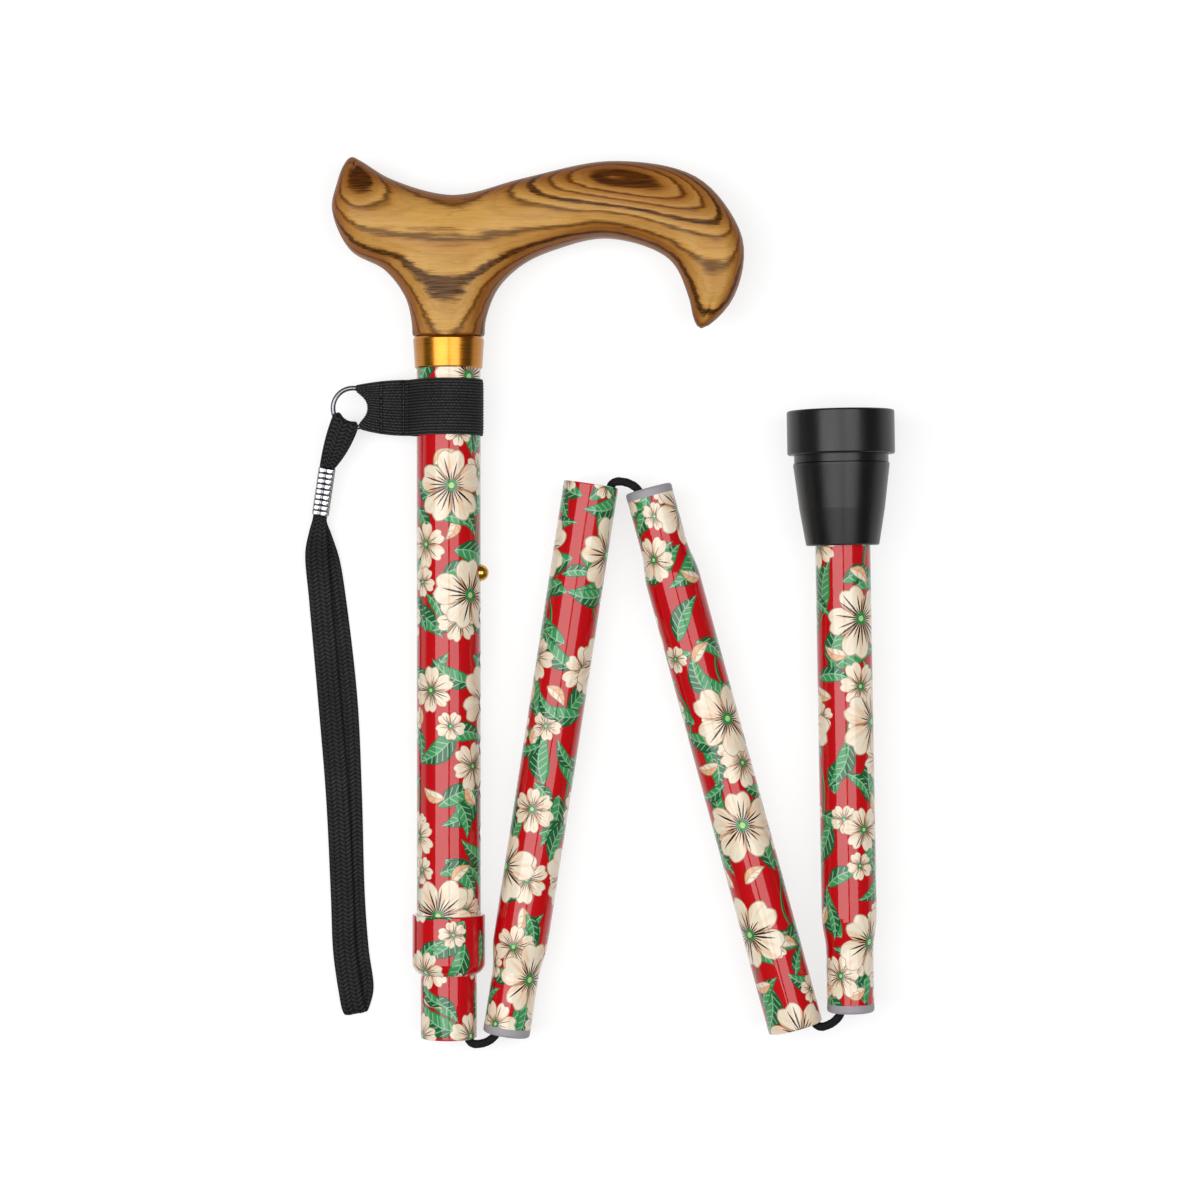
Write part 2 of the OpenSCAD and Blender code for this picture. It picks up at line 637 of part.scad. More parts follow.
module guide_bush() {
  r = bush_bore / 2;
  round_r = bush_collar / 3;
  color(grey_plastic) rotate_extrude() difference() {
    union() {
      translate([r, 0]) square([neck_bore_r - seat - r, bush_depth]);
      translate([r, 0]) square([spigot_r - round_r - r, bush_collar]);
      translate([r, round_r]) square([spigot_r - r, bush_collar - round_r]);
      translate([spigot_r - round_r, round_r]) circle(round_r);
    }
    difference() {
      translate([r - past, -past]) square(past + round_r);
      translate([r + round_r, round_r]) circle(round_r);
    }
  }
}
module guide_bush_2() on_section(start_2, heads[1]) guide_bush();
module guide_bush_3() on_section(start_3, heads[2]) guide_bush();
module guide_bush_4() on_section(start_4, heads[3]) guide_bush();

// Rubber tip, drawn from its ground face up the tube
washer_thickness = 1.5;
// Two ring grooves in the ground face, as shares of its radius
tread_at = [0.45, 0.7];
tread_width = 2;
tread_depth = 1.2;
// Rounding of the foot's edges, height of the neck above the foot, its step in from the
// body, and rounding of the mouth
foot_round = 0.7;
neck_height = 3.1;
neck_step = 0.35;
mouth_round = 0.35;
module rubber_tip() {
  body_r = tip_body_d / 2;
  mouth_r = tip_mouth_d / 2;
  neck_r = body_r - neck_step;
  body_foot = foot_height + neck_height;
  waist = [mix(body_r, mouth_r, 0.47), mix(body_foot, tip_height, 0.55)];
  color(rubber) on_section(ground_at, heads[3] + 180) difference() {
    rotate_extrude() difference() {
      union() {
        square([foot_r - foot_round, foot_height]);
        translate([0, foot_round]) square([foot_r, foot_height - 2 * foot_round]);
        for (z = [foot_round, foot_height - foot_round])
          translate([foot_r - foot_round, z]) circle(foot_round);
        polygon([
          [0, foot_round], [neck_r, foot_height - foot_round], [neck_r, body_foot - neck_step],
          [body_r, body_foot], [body_r, body_foot + 2 * neck_step], waist,
          [mouth_r, tip_height - mouth_round], [mouth_r - mouth_round, tip_height], [0, tip_height]]);
      }
      translate([-foot_d, -past]) square([foot_d, tip_height + 2 * past]);
    }
    translate([0, 0, tip_floor - washer_thickness]) cylinder(r = section_r + seat, h = tip_height);
    for (r = tread_at * foot_r) translate([0, 0, -past]) difference() {
      cylinder(r = r + tread_width / 2, h = past + tread_depth);
      translate([0, 0, -past]) cylinder(r = r - tread_width / 2, h = 3 * past + tread_depth);
    }
  }
}
module tip_washer() {
  color(steel) on_section(ground_at, heads[3] + 180) translate([0, 0, tip_floor - washer_thickness])
    cylinder(r = section_r, h = washer_thickness - seat);
}

// Wrist strap. The webbing goes round the shaft, both ends are sewn together
// beside it, and they fold round the front of the steel ring.
ring_mid_r = (ring_d - ring_wire) / 2;
ring_gap = 0.3;
sleeve_r = ring_wire / 2 + ring_gap + band_thickness;
ring_at = laid([-ring_reach, band_y, 0]);
// Bent sleeve round part of the ring's wire
module sleeve(from, to, r) {
  translate(ring_at) rotate([0, 0, from]) rotate_extrude(angle = to - from)
    translate([ring_mid_r, 0]) difference() {
      circle(r);
      circle(ring_wire / 2 + ring_gap);
    }
}
// Part of the ring that the webbing folds round, degrees
band_sleeve = [-62, 72];
ring_room = ring_d / 2 + ring_gap;
tail_end = -ring_reach + ring_room + 2 * ring_gap;
// The tail's corners are folded in: how far back, and how far in at their two ends
tail_corner = [3, 1.6, 5];
// Cross-section of the webbing round the shaft: it leaves the tube in two straight
// runs that meet at the seam. The runs start a hair inside the arcs.
run_bite = 0.03;
module band_loop() {
  inner = upper_r + seat;
  outer = inner + band_thickness;
  lean = acos(inner / band_seam);
  tangent = [-cos(lean), sin(lean)];
  leave = (outer - run_bite) * tangent;
  meeting = [-(outer - run_bite - band_thickness / 2 * sin(lean)) / cos(lean), band_thickness / 2];
  inner_leave = (inner - run_bite) * tangent;
  inner_meeting = [-(inner - run_bite) / cos(lean), 0];
  difference() {
    union() {
      circle(outer);
      polygon([[0, 0], leave, meeting, [meeting.x, -meeting.y], [leave.x, -leave.y]]);
    }
    circle(inner);
    polygon([[0, 0], inner_leave, inner_meeting, [inner_leave.x, -inner_leave.y]]);
  }
}
module strap_band() {
  edge = band_width / 2;
  half_tail = [
    [-band_seam - ring_gap, edge - seat], [tail_end - tail_corner[0], edge - tail_corner[1]],
    [tail_end, edge - tail_corner[2]]];
  color(nylon) {
    on_shaft(band_y - edge) linear_extrude(band_width) band_loop();
    lay_down() translate([0, band_y, 0]) difference() {
      linear_extrude(2 * band_thickness, center = true)
        polygon(concat(half_tail, [for (p = back(half_tail)) [p.x, -p.y]]));
      translate([-ring_reach, 0, 0]) cylinder(r = ring_room + seat, h = band_width, center = true);
    }
    sleeve(band_sleeve[0], band_sleeve[1], sleeve_r);
  }
}
module strap_ring() {
  color(steel) translate(ring_at) rotate_extrude() translate([ring_mid_r, 0]) circle(d = ring_wire);
}
// Places on the strap are given from the shaft axis and the collar, with heights
// above the table
function on_table(p) = [p.x - x_mid, p.y - y_mid, p.z];
eye_sleeve = [203, 282];
crimp_top = on_table([-42.5, -34, 8.4]);
crimp_along = unit([-2.7, -16.6, -2.6]);
crimp_across = unit(cross([0, 0, 1], crimp_along));
crimp_up = cross(crimp_along, crimp_across);
crimp_turn = atan2(crimp_along.x, -crimp_along.y);
crimp_foot = crimp_top + crimp_length * crimp_along;
// Section of the lace: a flat ribbon with chamfered edges, as shares of its width
// and thickness
ribbon_half = [[-0.5, -0.2], [-0.4, -0.5], [0.4, -0.5], [0.5, -0.2]];
ribbon_outline = concat(ribbon_half, -ribbon_half);
function ribbon_ring(p, across, up, w, t) = [for (q = ribbon_outline) p + across * q.x * w + up * q.y * t];
// Width of the lace where it folds round the ring
eye_width = 13.5;
eye_steps = 5;
module strap_eye() {
  a = (eye_sleeve[0] + eye_sleeve[1]) / 2;
  start = ring_at + (ring_room + ring_gap) * [cos(a), sin(a), 0];
  end = crimp_top - seat * crimp_along;
  across = -unit(cross([0, 0, 1], unit(end - start)));
  color(nylon) {
    sleeve(eye_sleeve[0], eye_sleeve[1], sleeve_r);
    skin([for (k = [0 : eye_steps])
      let (f = k / eye_steps, w = mix(eye_width, crimp_width - 2 * ring_gap, f * (1.6 - 0.6 * f)))
      ribbon_ring(mix(start, end, f), unit(mix(across, -crimp_across, f)), crimp_up, w, 2 * lace_thickness)]);
  }
}
// Crimp: a plate with two rows of square bumps pressed on both sides
bump_count = 9;
bump_rise = 0.5;
bump_gap = 0.4;
module strap_crimp() {
  bump_pitch = crimp_length / bump_count;
  plate = [crimp_width, crimp_length, crimp_thickness - 2 * bump_rise];
  bump = [crimp_width / 2 - bump_gap, bump_pitch - bump_gap, crimp_thickness];
  color(chrome) translate(crimp_top) rotate([0, 0, crimp_turn]) rotate([asin(-crimp_along.z), 0, 0]) {
    translate([0, -crimp_length / 2, 0]) cube(plate, center = true);
    for (i = [0 : bump_count - 1], s = [-1, 1])
      translate([s * crimp_width / 4, -(i + 0.5) * bump_pitch, 0]) cube(bump, center = true);
  }
}
// The loop's route down the upper strand, round the end and back under it:
// place, turn of the width from +X in degrees, and share of the full width
loop_route = [
  [-46, -57, 6.4, -4, 0.8], [-46.6, -64, 4.6, 2, 1], [-45.4, -80, 2.9, 6, 1], [-42.3, -115, 2.6, 5, 1],
  [-39.5, -149, 2.6, 4, 1], [-37.8, -184, 2.6, 2, 1], [-37, -203, 2.8, 5, 1], [-35, -217, 3.4, 9, 1],
  [-33.8, -223, 3.2, 10, 1], [-33, -224.6, 2, 10, 1], [-32.2, -223, 1, 10, 1],
  [-30.9, -217, 0.9, 9, 1], [-32.6, -203, 0.9, 6, 1], [-34, -184, 0.9, 2, 1], [-35, -149, 0.9, 3, 1],
  [-36.6, -115, 0.9, 6, 1], [-40.6, -80, 0.9, 6, 1], [-42.8, -66, 1.8, 2, 1], [-44.6, -57, 4.2, -4, 0.8]
];
// The two strands leave the crimp square to it, one above the other
strand_lift = 0.85;
strand_share = 0.6;
function strand_at(out, lift) =
  let (p = crimp_foot + out * crimp_along + lift * crimp_up + [x_mid, y_mid, 0])
  concat(p, [crimp_turn, strand_share]);
module wrist_loop() {
  over = [strand_at(seat, strand_lift), strand_at(lace_thickness, strand_lift)];
  under = [strand_at(lace_thickness, -strand_lift), strand_at(seat, -strand_lift)];
  line = curve(concat(over, loop_route, under), 3);
  last = len(line) - 1;
  color(nylon) skin([for (i = [0 : last])
    let (p = line[i], q = line[min(i + 1, last)] - line[max(i - 1, 0)],
         along = unit([q.x, q.y, q.z]), across = [cos(p[3]), sin(p[3]), 0],
         up = unit(cross(across, along)))
    ribbon_ring(on_table([p.x, p.y, p.z]), across, up, p[4] * lace_width, lace_thickness)]);
}

handle();
handle_stud();
stud_nut();
top_plug();
collar();
upper_tube();
clamp_collet();
lock_ring();
strap_band();
adjust_tube();
glide_bush();
button_spring();
lock_button();
upper_anchor();
elastic_1();
cord_link_1();
section_2_tube();
guide_bush_2();
elastic_2();
cord_link_2();
section_3_tube();
guide_bush_3();
elastic_3();
cord_link_3();
section_4_tube();
guide_bush_4();
elastic_4();
lower_anchor();
rubber_tip();
tip_washer();
strap_ring();
strap_eye();
strap_crimp();
wrist_loop();
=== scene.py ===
"""Looks of a folding walking cane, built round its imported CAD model.

The file is laid out as a Blender add-on and run as a script. Lengths in the
formulas are millimetres in the row frame, and meshes are written in metres.
"""
import json
import math
from functools import partial

import bpy
import numpy as np
from bpy.props import FloatProperty, FloatVectorProperty, PointerProperty
from mathutils import Matrix


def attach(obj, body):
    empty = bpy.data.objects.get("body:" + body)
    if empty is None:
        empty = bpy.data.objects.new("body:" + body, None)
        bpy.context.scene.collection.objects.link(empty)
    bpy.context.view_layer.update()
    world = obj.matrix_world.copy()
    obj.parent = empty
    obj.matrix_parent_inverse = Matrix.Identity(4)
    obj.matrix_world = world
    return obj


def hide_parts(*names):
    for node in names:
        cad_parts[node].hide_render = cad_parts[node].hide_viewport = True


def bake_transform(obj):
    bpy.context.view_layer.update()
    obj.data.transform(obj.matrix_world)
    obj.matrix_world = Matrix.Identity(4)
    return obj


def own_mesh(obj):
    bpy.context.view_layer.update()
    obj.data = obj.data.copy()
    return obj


bl_info = {
    "name": "Folding cane looks",
    "version": (1, 0, 0),
    "blender": (4, 5, 0),
    "location": "View3D > Sidebar > Cane",
    "description": "Dresses the packed folding cane in wood, printed tube, webbing, lace and rubber",
    "category": "Object",
}

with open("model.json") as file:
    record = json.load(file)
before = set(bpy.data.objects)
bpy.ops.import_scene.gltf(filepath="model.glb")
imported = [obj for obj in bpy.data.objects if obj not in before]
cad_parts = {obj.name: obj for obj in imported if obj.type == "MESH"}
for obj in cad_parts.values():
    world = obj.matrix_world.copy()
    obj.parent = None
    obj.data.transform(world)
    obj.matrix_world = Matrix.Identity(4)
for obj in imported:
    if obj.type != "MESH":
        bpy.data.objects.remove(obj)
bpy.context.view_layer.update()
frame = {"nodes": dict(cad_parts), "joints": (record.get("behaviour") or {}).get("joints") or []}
NODES = frame["nodes"]
JOINTS = {joint["name"]: joint for joint in frame["joints"]}
MM = 0.001


def unit(v):
    """Vectors scaled to length one, along the last axis."""
    v = np.asarray(v, float)
    return v / np.linalg.norm(v, axis=-1, keepdims=True)


def linear(code):
    """Linear colour with alpha of an sRGB hex value."""
    c = np.array([int(code[i:i + 2], 16) for i in (1, 3, 5)]) / 255
    c = np.where(c <= 0.04045, c / 12.92, ((c + 0.055) / 1.055) ** 2.4)
    return (*c.tolist(), 1.0)


# Frame of the cane's plane, from the joints: right, up the shaft, and out of the plane
OUT = -unit(JOINTS["fold_upper"]["axis"])
UP = -unit(JOINTS["height_adjust"]["axis"])
RIGHT = unit(np.cross(UP, OUT))
PLANE = np.stack([RIGHT, UP, OUT])
# Shaft axis at the collar's lower edge, and the point of the table below it
SHAFT = np.array([-56.4807, 80.6378, 13.3752])
TABLE_SHIFT = SHAFT * [1, 1, 0]
TUBE_R = 11.1
# Webbing's middle and width along the shaft
BAND_Y = -13.5
BAND_WIDTH = 19.4
# Steel ring: middle, its place left of the shaft, radius of its circle and of its wire, room round the wire
RING_AT = 1000 * np.array(JOINTS["ring_turn"]["pos_m"])
RING_X = -33.3
RING_R = 6.925
WIRE_R = 0.875
WIRE_GAP = 0.2
# Crimp on the lace: top end, directions and size
CRIMP_TOP = np.array([-42.5, -34.0, 8.4]) + TABLE_SHIFT
CRIMP_ALONG = unit([-2.7, -16.6, -2.6])
CRIMP_ACROSS = unit(np.cross([0, 0, 1], CRIMP_ALONG))
CRIMP_UP = np.cross(CRIMP_ALONG, CRIMP_ACROSS)
CRIMP_WIDTH = 5.9
CRIMP_LENGTH = 17.0
CRIMP_THICK = 4.4
CRIMP_FOOT = CRIMP_TOP + CRIMP_LENGTH * CRIMP_ALONG
CRIMP_ROWS = 9
# Lace: width, thickness and the depth of its plaits
LACE_WIDTH = 8.0
LACE_THICK = 1.5
PLAIT_DEEP = 0.24


def length(label, what, size):
    """A length property with its default in millimetres."""
    return FloatProperty(name=label, description=what, default=size * MM, unit="LENGTH")


def colour(label, what, code):
    """A colour property with its sRGB hex default."""
    return FloatVectorProperty(name=label, description=what, default=linear(code), size=4, subtype="COLOR")


class CaneSizes(bpy.types.PropertyGroup):
    """Sizes of the fine detail."""
    braid_pitch: length("Braid pitch", "Length of one plait of the lace", 1.45)
    rib_pitch: length("Rib pitch", "Distance between the ribs of the webbing", 1.0)
    grain_pitch: length("Grain pitch", "Thickness of a year's growth in the handle", 4.2)
    blossom: length("Large blossom", "Radius of the large printed blossoms", 14.2)
    stitch: length("Stitch length", "Length of a stitch in the webbing's seam", 2.2)


class CaneColours(bpy.types.PropertyGroup):
    """Colours of the finishes."""
    wood_pale: colour("Pale wood", "Early wood of the handle", "#D6A75E")
    wood_gold: colour("Golden wood", "Body colour of the handle", "#BC8436")
    # Amber wood is stain in the growth layers, hump and nose, and painted shade on the rounded edges
    wood_amber_and_edge_shade: colour("Amber wood", "Stain on the rounded edges of the handle", "#8C4A08")
    wood_dark: colour("Dark wood", "Late wood lines of the handle", "#3A1F0C")
    gold: colour("Gold", "Anodised collar", "#C28326")
    ground: colour("Ground", "Red ground of the print", "#C2040E")
    cream: colour("Cream", "Petals", "#F2E6CF")
    peach: colour("Peach", "Shaded petals", "#E9B384")
    ink: colour("Ink", "Dark strokes of the print", "#1C110E")
    leaf_dark: colour("Dark leaf", "Shaded side of the printed leaves", "#14592F")
    leaf_light: colour("Light leaf", "Lit side of the printed leaves", "#3F9A5B")
    vein: colour("Vein", "Pale veins of the printed leaves", "#A9D8B0")
    # The webbing's and the lace's crest greys are a sheen painted on the black yarn
    webbing: colour("Webbing", "Crests of the webbing's ribs", "#606062")
    lace: colour("Lace", "Crests of the lace's plaits", "#505052")
    elastic: colour("Elastic", "Braided cover of the elastic cord", "#2C2C2F")
    rubber: colour("Rubber", "Tip", "#070708")
    grey: colour("Grey plastic", "Guide bushes and anchors", "#9E999F")


# Settings of a Mix node for colours, whose sockets 0, 6 and 7 are the share and the two colours
MIX_COLOURS = {"out": 2, "data_type": "RGBA"}


def fill(tree, node, inputs):
    """Links or sets a node's inputs: a list from the first on, or a dict by name or number."""
    for key, value in inputs.items() if isinstance(inputs, dict) else enumerate(inputs):
        if isinstance(value, bpy.types.NodeSocket):
            tree.links.new(value, node.inputs[key])
        else:
            node.inputs[key].default_value = value


def add(tree, kind, inputs=(), out=0, **settings):
    """Adds a shader node with its settings and links, and returns one of its outputs.

    An upper-case kind is the operation of a Math node.
    """
    if kind.isupper():
        settings["operation"] = kind
        kind = "Math"
    node = tree.nodes.new("ShaderNode" + kind)
    for key, value in settings.items():
        setattr(node, key, value)
    fill(tree, node, inputs)
    return node.outputs[out]


def new_group(name, inputs, outputs):
    """Empty node group: its tree, the adding function, its inputs and a function that fills its outputs.

    A label that starts with place or colour is a vector or a colour, and any other a number.
    """
    tree = bpy.data.node_groups.new(name, "ShaderNodeTree")
    kinds = {"place": "NodeSocketVector", "colour": "NodeSocketColor"}
    for way, labels in (("INPUT", inputs), ("OUTPUT", outputs)):
        for label in labels:
            kind = kinds.get(label.split()[0], "NodeSocketFloat")
            tree.interface.new_socket(label, in_out=way, socket_type=kind)
    given = tree.nodes.new("NodeGroupInput").outputs
    return tree, partial(add, tree), given, partial(fill, tree, tree.nodes.new("NodeGroupOutput"))


def new_material(name):
    """Material with a bare Principled shader: itself, the adding function and one that fills the shader."""
    material = bpy.data.materials.new(name)
    material.use_nodes = True
    tree = material.node_tree
    return material, partial(add, tree), partial(fill, tree, tree.nodes["Principled BSDF"])


def dress(node_name, material):
    """Gives a CAD node its material."""
    mesh = NODES[node_name].data
    mesh.materials.clear()
    mesh.materials.append(material)


def node_points(node_name):
    """A CAD node's points, in millimetres."""
    mesh = NODES[node_name].data
    p = np.empty(3 * len(mesh.vertices), np.float32)
    mesh.vertices.foreach_get("co", p)
    return p.reshape(-1, 3).astype(float) / MM


def grid_piece(name, points, material, round_u=False, round_v=False, caps=False, uv=None, depth=None):
    """Smooth mesh object of a grid of points, rows by columns, in millimetres.

    Quads join each point with its neighbours in the next row and column, and close
    round where asked; caps close the two end rows. uv holds the row and column
    coordinates in millimetres, with one more value where the grid closes. depth, from 0
    on crests to 1 in valleys, goes to an attribute of that name.
    """
    rows, cols = points.shape[:2]
    i, j = np.meshgrid(
        np.arange(rows if round_u else rows - 1), np.arange(cols if round_v else cols - 1), indexing="ij")
    k, l = (i + 1) % rows, (j + 1) % cols
    quads = np.stack([i * cols + j, i * cols + l, k * cols + l, k * cols + j], -1).reshape(-1, 4)
    p = points.reshape(-1, 3)
    a, b, c, d = (p[quads[:, q]] for q in range(4))
    inward = np.einsum("ij,ij->i", a + b + c + d, np.cross(c - a, d - b)).sum() < 0
    if inward:
        quads = quads[:, ::-1]
    faces = quads.tolist()
    if caps:
        first, last = list(range(cols)), list(range((rows - 1) * cols, rows * cols))
        faces += [first, last[::-1]] if inward else [first[::-1], last]
    mesh = bpy.data.meshes.new(name)
    mesh.from_pydata((p * MM).tolist(), [], faces)
    if uv is not None:
        u, v = np.asarray(uv[0], float), np.asarray(uv[1], float)
        order = [(i, j), (i, j + 1), (i + 1, j + 1), (i + 1, j)]
        corners = np.stack([np.stack([u[r], v[s]], -1).reshape(-1, 2) for r, s in order], 1)
        if inward:
            corners = corners[:, ::-1]
        flat = np.zeros((len(mesh.loops), 2), np.float32)
        flat[:corners.size // 2] = corners.reshape(-1, 2)
        mesh.uv_layers.new(name="lay").data.foreach_set("uv", flat.ravel())
    if depth is not None:
        values = depth.ravel().astype(np.float32)
        mesh.attributes.new("depth", "FLOAT", "POINT").data.foreach_set("value", values)
    mesh.polygons.foreach_set("use_smooth", np.ones(len(mesh.polygons), bool))
    mesh.materials.append(material)
    mesh.update()
    piece = bpy.data.objects.new(name, mesh)
    bpy.context.scene.collection.objects.link(piece)
    return piece


def settle(piece, body, slot, *nodes):
    """The piece rides on a body and stands for CAD nodes, which are hidden. The slot is not used."""
    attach(piece, body)
    if nodes:
        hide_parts(*nodes)


def curve(points, steps):
    """Smooth line through points: Catmull-Rom with knots spaced by the root of the chord."""
    p = np.asarray(points, float)
    p = np.vstack([2 * p[0] - p[1], p, 2 * p[-1] - p[-2]])
    hop = np.sqrt(np.maximum(np.linalg.norm(np.diff(p, axis=0), axis=1), 0.001))
    a, b, c, d = (p[i:len(p) - 3 + i, None] for i in range(4))
    u, v, w = (x[:, None, None] for x in (hop[:-2], hop[:-2] + hop[1:-1], hop[:-2] + hop[1:-1] + hop[2:]))
    t = u + (v - u) * (np.arange(steps) / steps)[None, :, None]
    q, r, s = a + (b - a) * t / u, b + (c - b) * (t - u) / (v - u), c + (d - c) * (t - v) / (w - v)
    m, n = q + (r - q) * t / v, r + (s - r) * (t - u) / (w - u)
    line = (m + (n - m) * (t - u) / (v - u)).reshape(-1, p.shape[1])
    return np.vstack([line, p[-2]])


def lengths(line):
    """Length along a line up to each of its points, measured on its first three numbers."""
    return np.concatenate([[0], np.cumsum(np.linalg.norm(np.diff(line[:, :3], axis=0), axis=1))])


def even(line, count):
    """The same line with equal steps, and the length up to each."""
    s = lengths(line)
    t = np.linspace(0, s[-1], count + 1)
    return np.stack([np.interp(t, s, line[:, k]) for k in range(line.shape[1])], 1), t


def at_lengths(sheet, s, t):
    """Rows of a sheet at lengths t along it, straight between its own rows at lengths s."""
    k = np.clip(np.searchsorted(s, t, side="right") - 1, 0, len(s) - 2)
    f = ((t - s[k]) / (s[k + 1] - s[k]))[:, None, None]
    return sheet[k] * (1 - f) + sheet[k + 1] * f


def ribbon(mid, thick, relief, closed):
    """Skin of a band: its middle surface [along, across] moved out to both faces.

    Each face stands half the thickness off, less the relief, along the middle's
    normal, and the thickness falls off in a quarter round at both edges.
    """
    along = np.roll(mid, -1, 0) - np.roll(mid, 1, 0) if closed else np.gradient(mid, axis=0)
    normal = unit(np.cross(along, np.gradient(mid, axis=1)))
    v = np.linspace(-1, 1, mid.shape[1])
    off = normal * ((thick / 2 - relief) * np.sqrt(1 - 0.96 * np.abs(v) ** 7))[..., None]
    return np.concatenate([mid + off, (mid - off)[:, ::-1]], 1)


def strap(name, material, mid, lay, thick, relief, deepest, rear, closed=False):
    """Flat woven strap: the skin of its middle surface, with its weave's depth and its lay in millimetres.

    lay is the length along and the place across. The rear face's lay is moved across by rear, so that
    its threads differ from the front's, and a relief of deepest counts as the floor of a valley.
    """
    s, w = lay
    if closed:
        s = np.append(s, s[-1] + s[1])
    # Depth of the weave, from 0 on crests to 1 in valleys, which the nylon material paints as shade
    deep = np.clip(np.concatenate([relief, relief[:, ::-1]], 1) / deepest, 0, 1)
    return grid_piece(
        name, ribbon(mid, thick, relief, closed), material, round_u=closed, round_v=True, caps=not closed,
        uv=(s, np.concatenate([w, w + rear, [w[0]]])), depth=deep)


def plait(s, v, pitch, width):
    """Depth of a flat plait below its crests: strands slant to and fro in columns two
    millimetres wide, so that they meet in rows of V."""
    column = v * width / 2.0
    zigzag = np.abs(2 * ((column / 2) % 1) - 1)
    crest = np.abs(np.cos(np.pi * (s / pitch + 0.85 * zigzag)))
    seam = np.abs(np.sin(np.pi * column)) ** 0.5
    return PLAIT_DEEP * (1 - crest ** 1.5 * (0.35 + 0.65 * seam))


def rope(name, material, line, radius, pitch, strands=8, deep=0.12, around=24):
    """Round braided cord on a line: radius less a diamond relief of two crossing helices.

    The rings start across from a direction just off the plane's normal, which no line follows."""
    along = unit(np.gradient(line, axis=0))
    side = unit(np.cross(along, OUT + 0.001))
    rise = np.cross(side, along)
    s = lengths(line)
    a = 2 * np.pi * np.arange(around) / around
    turn = 2 * np.pi * s[:, None] / pitch
    weave = np.abs(np.sin(strands / 2 * a + turn) * np.sin(strands / 2 * a - turn))
    r = np.asarray(radius, float).reshape(-1, 1) - deep * (1 - weave)
    ring = side[:, None] * np.cos(a)[None, :, None] + rise[:, None] * np.sin(a)[None, :, None]
    lay = (s, np.append(a, 2 * np.pi) * CORD_R)
    return grid_piece(name, line[:, None] + ring * r[..., None], material, round_v=True, caps=True, uv=lay)


# The print: a made-up scatter of round-petalled blossoms and plain leaves on red
def scatter_group():
    """Cells round and along a tube, each with one motif.

    Rows are shifted by chance, columns count round the tube so that the pattern
    closes, and each cell's dice move and turn its motif.
    """
    tree, n, i, done = new_group(
        "scatter", ["around", "along", "columns", "column width", "row height", "seed", "jitter"],
        ["place", "chance"])
    rows = n("ADD", [n("DIVIDE", [i["along"], i["row height"]]), n("MULTIPLY", [i["seed"], 0.37])])
    row = n("FLOOR", [rows])
    shift = n("ADD", [row, n("MULTIPLY", [i["seed"], 17.31])])
    shift = n("TexWhiteNoise", {"W": shift}, noise_dimensions="1D")
    turns = n("ADD", [n("DIVIDE", [i["around"], i["column width"]]), shift])
    column = n("FLOORED_MODULO", [n("FLOOR", [turns]), i["columns"]])
    dice = n("TexWhiteNoise", {"Vector": n("CombineXYZ", [column, row, i["seed"]])}).node
    pick = n("SeparateColor", [dice.outputs[1]]).node
    spots = []
    for step, roll, size in ((turns, 0, "column width"), (rows, 1, "row height")):
        off = n("MULTIPLY", [n("SUBTRACT", [pick.outputs[roll], 0.5]), i["jitter"]])
        inside = n("SUBTRACT", [n("SUBTRACT", [n("FRACT", [step]), 0.5]), off])
        spots.append(n("MULTIPLY", [inside, i[size]]))
    angle = n("MULTIPLY", [pick.outputs[2], 2 * math.pi])
    place = n("VectorRotate", {"Vector": n("CombineXYZ", spots), "Angle": angle}, rotation_type="Z_AXIS")
    done({"place": place, "chance": dice.outputs[0]})
    return tree


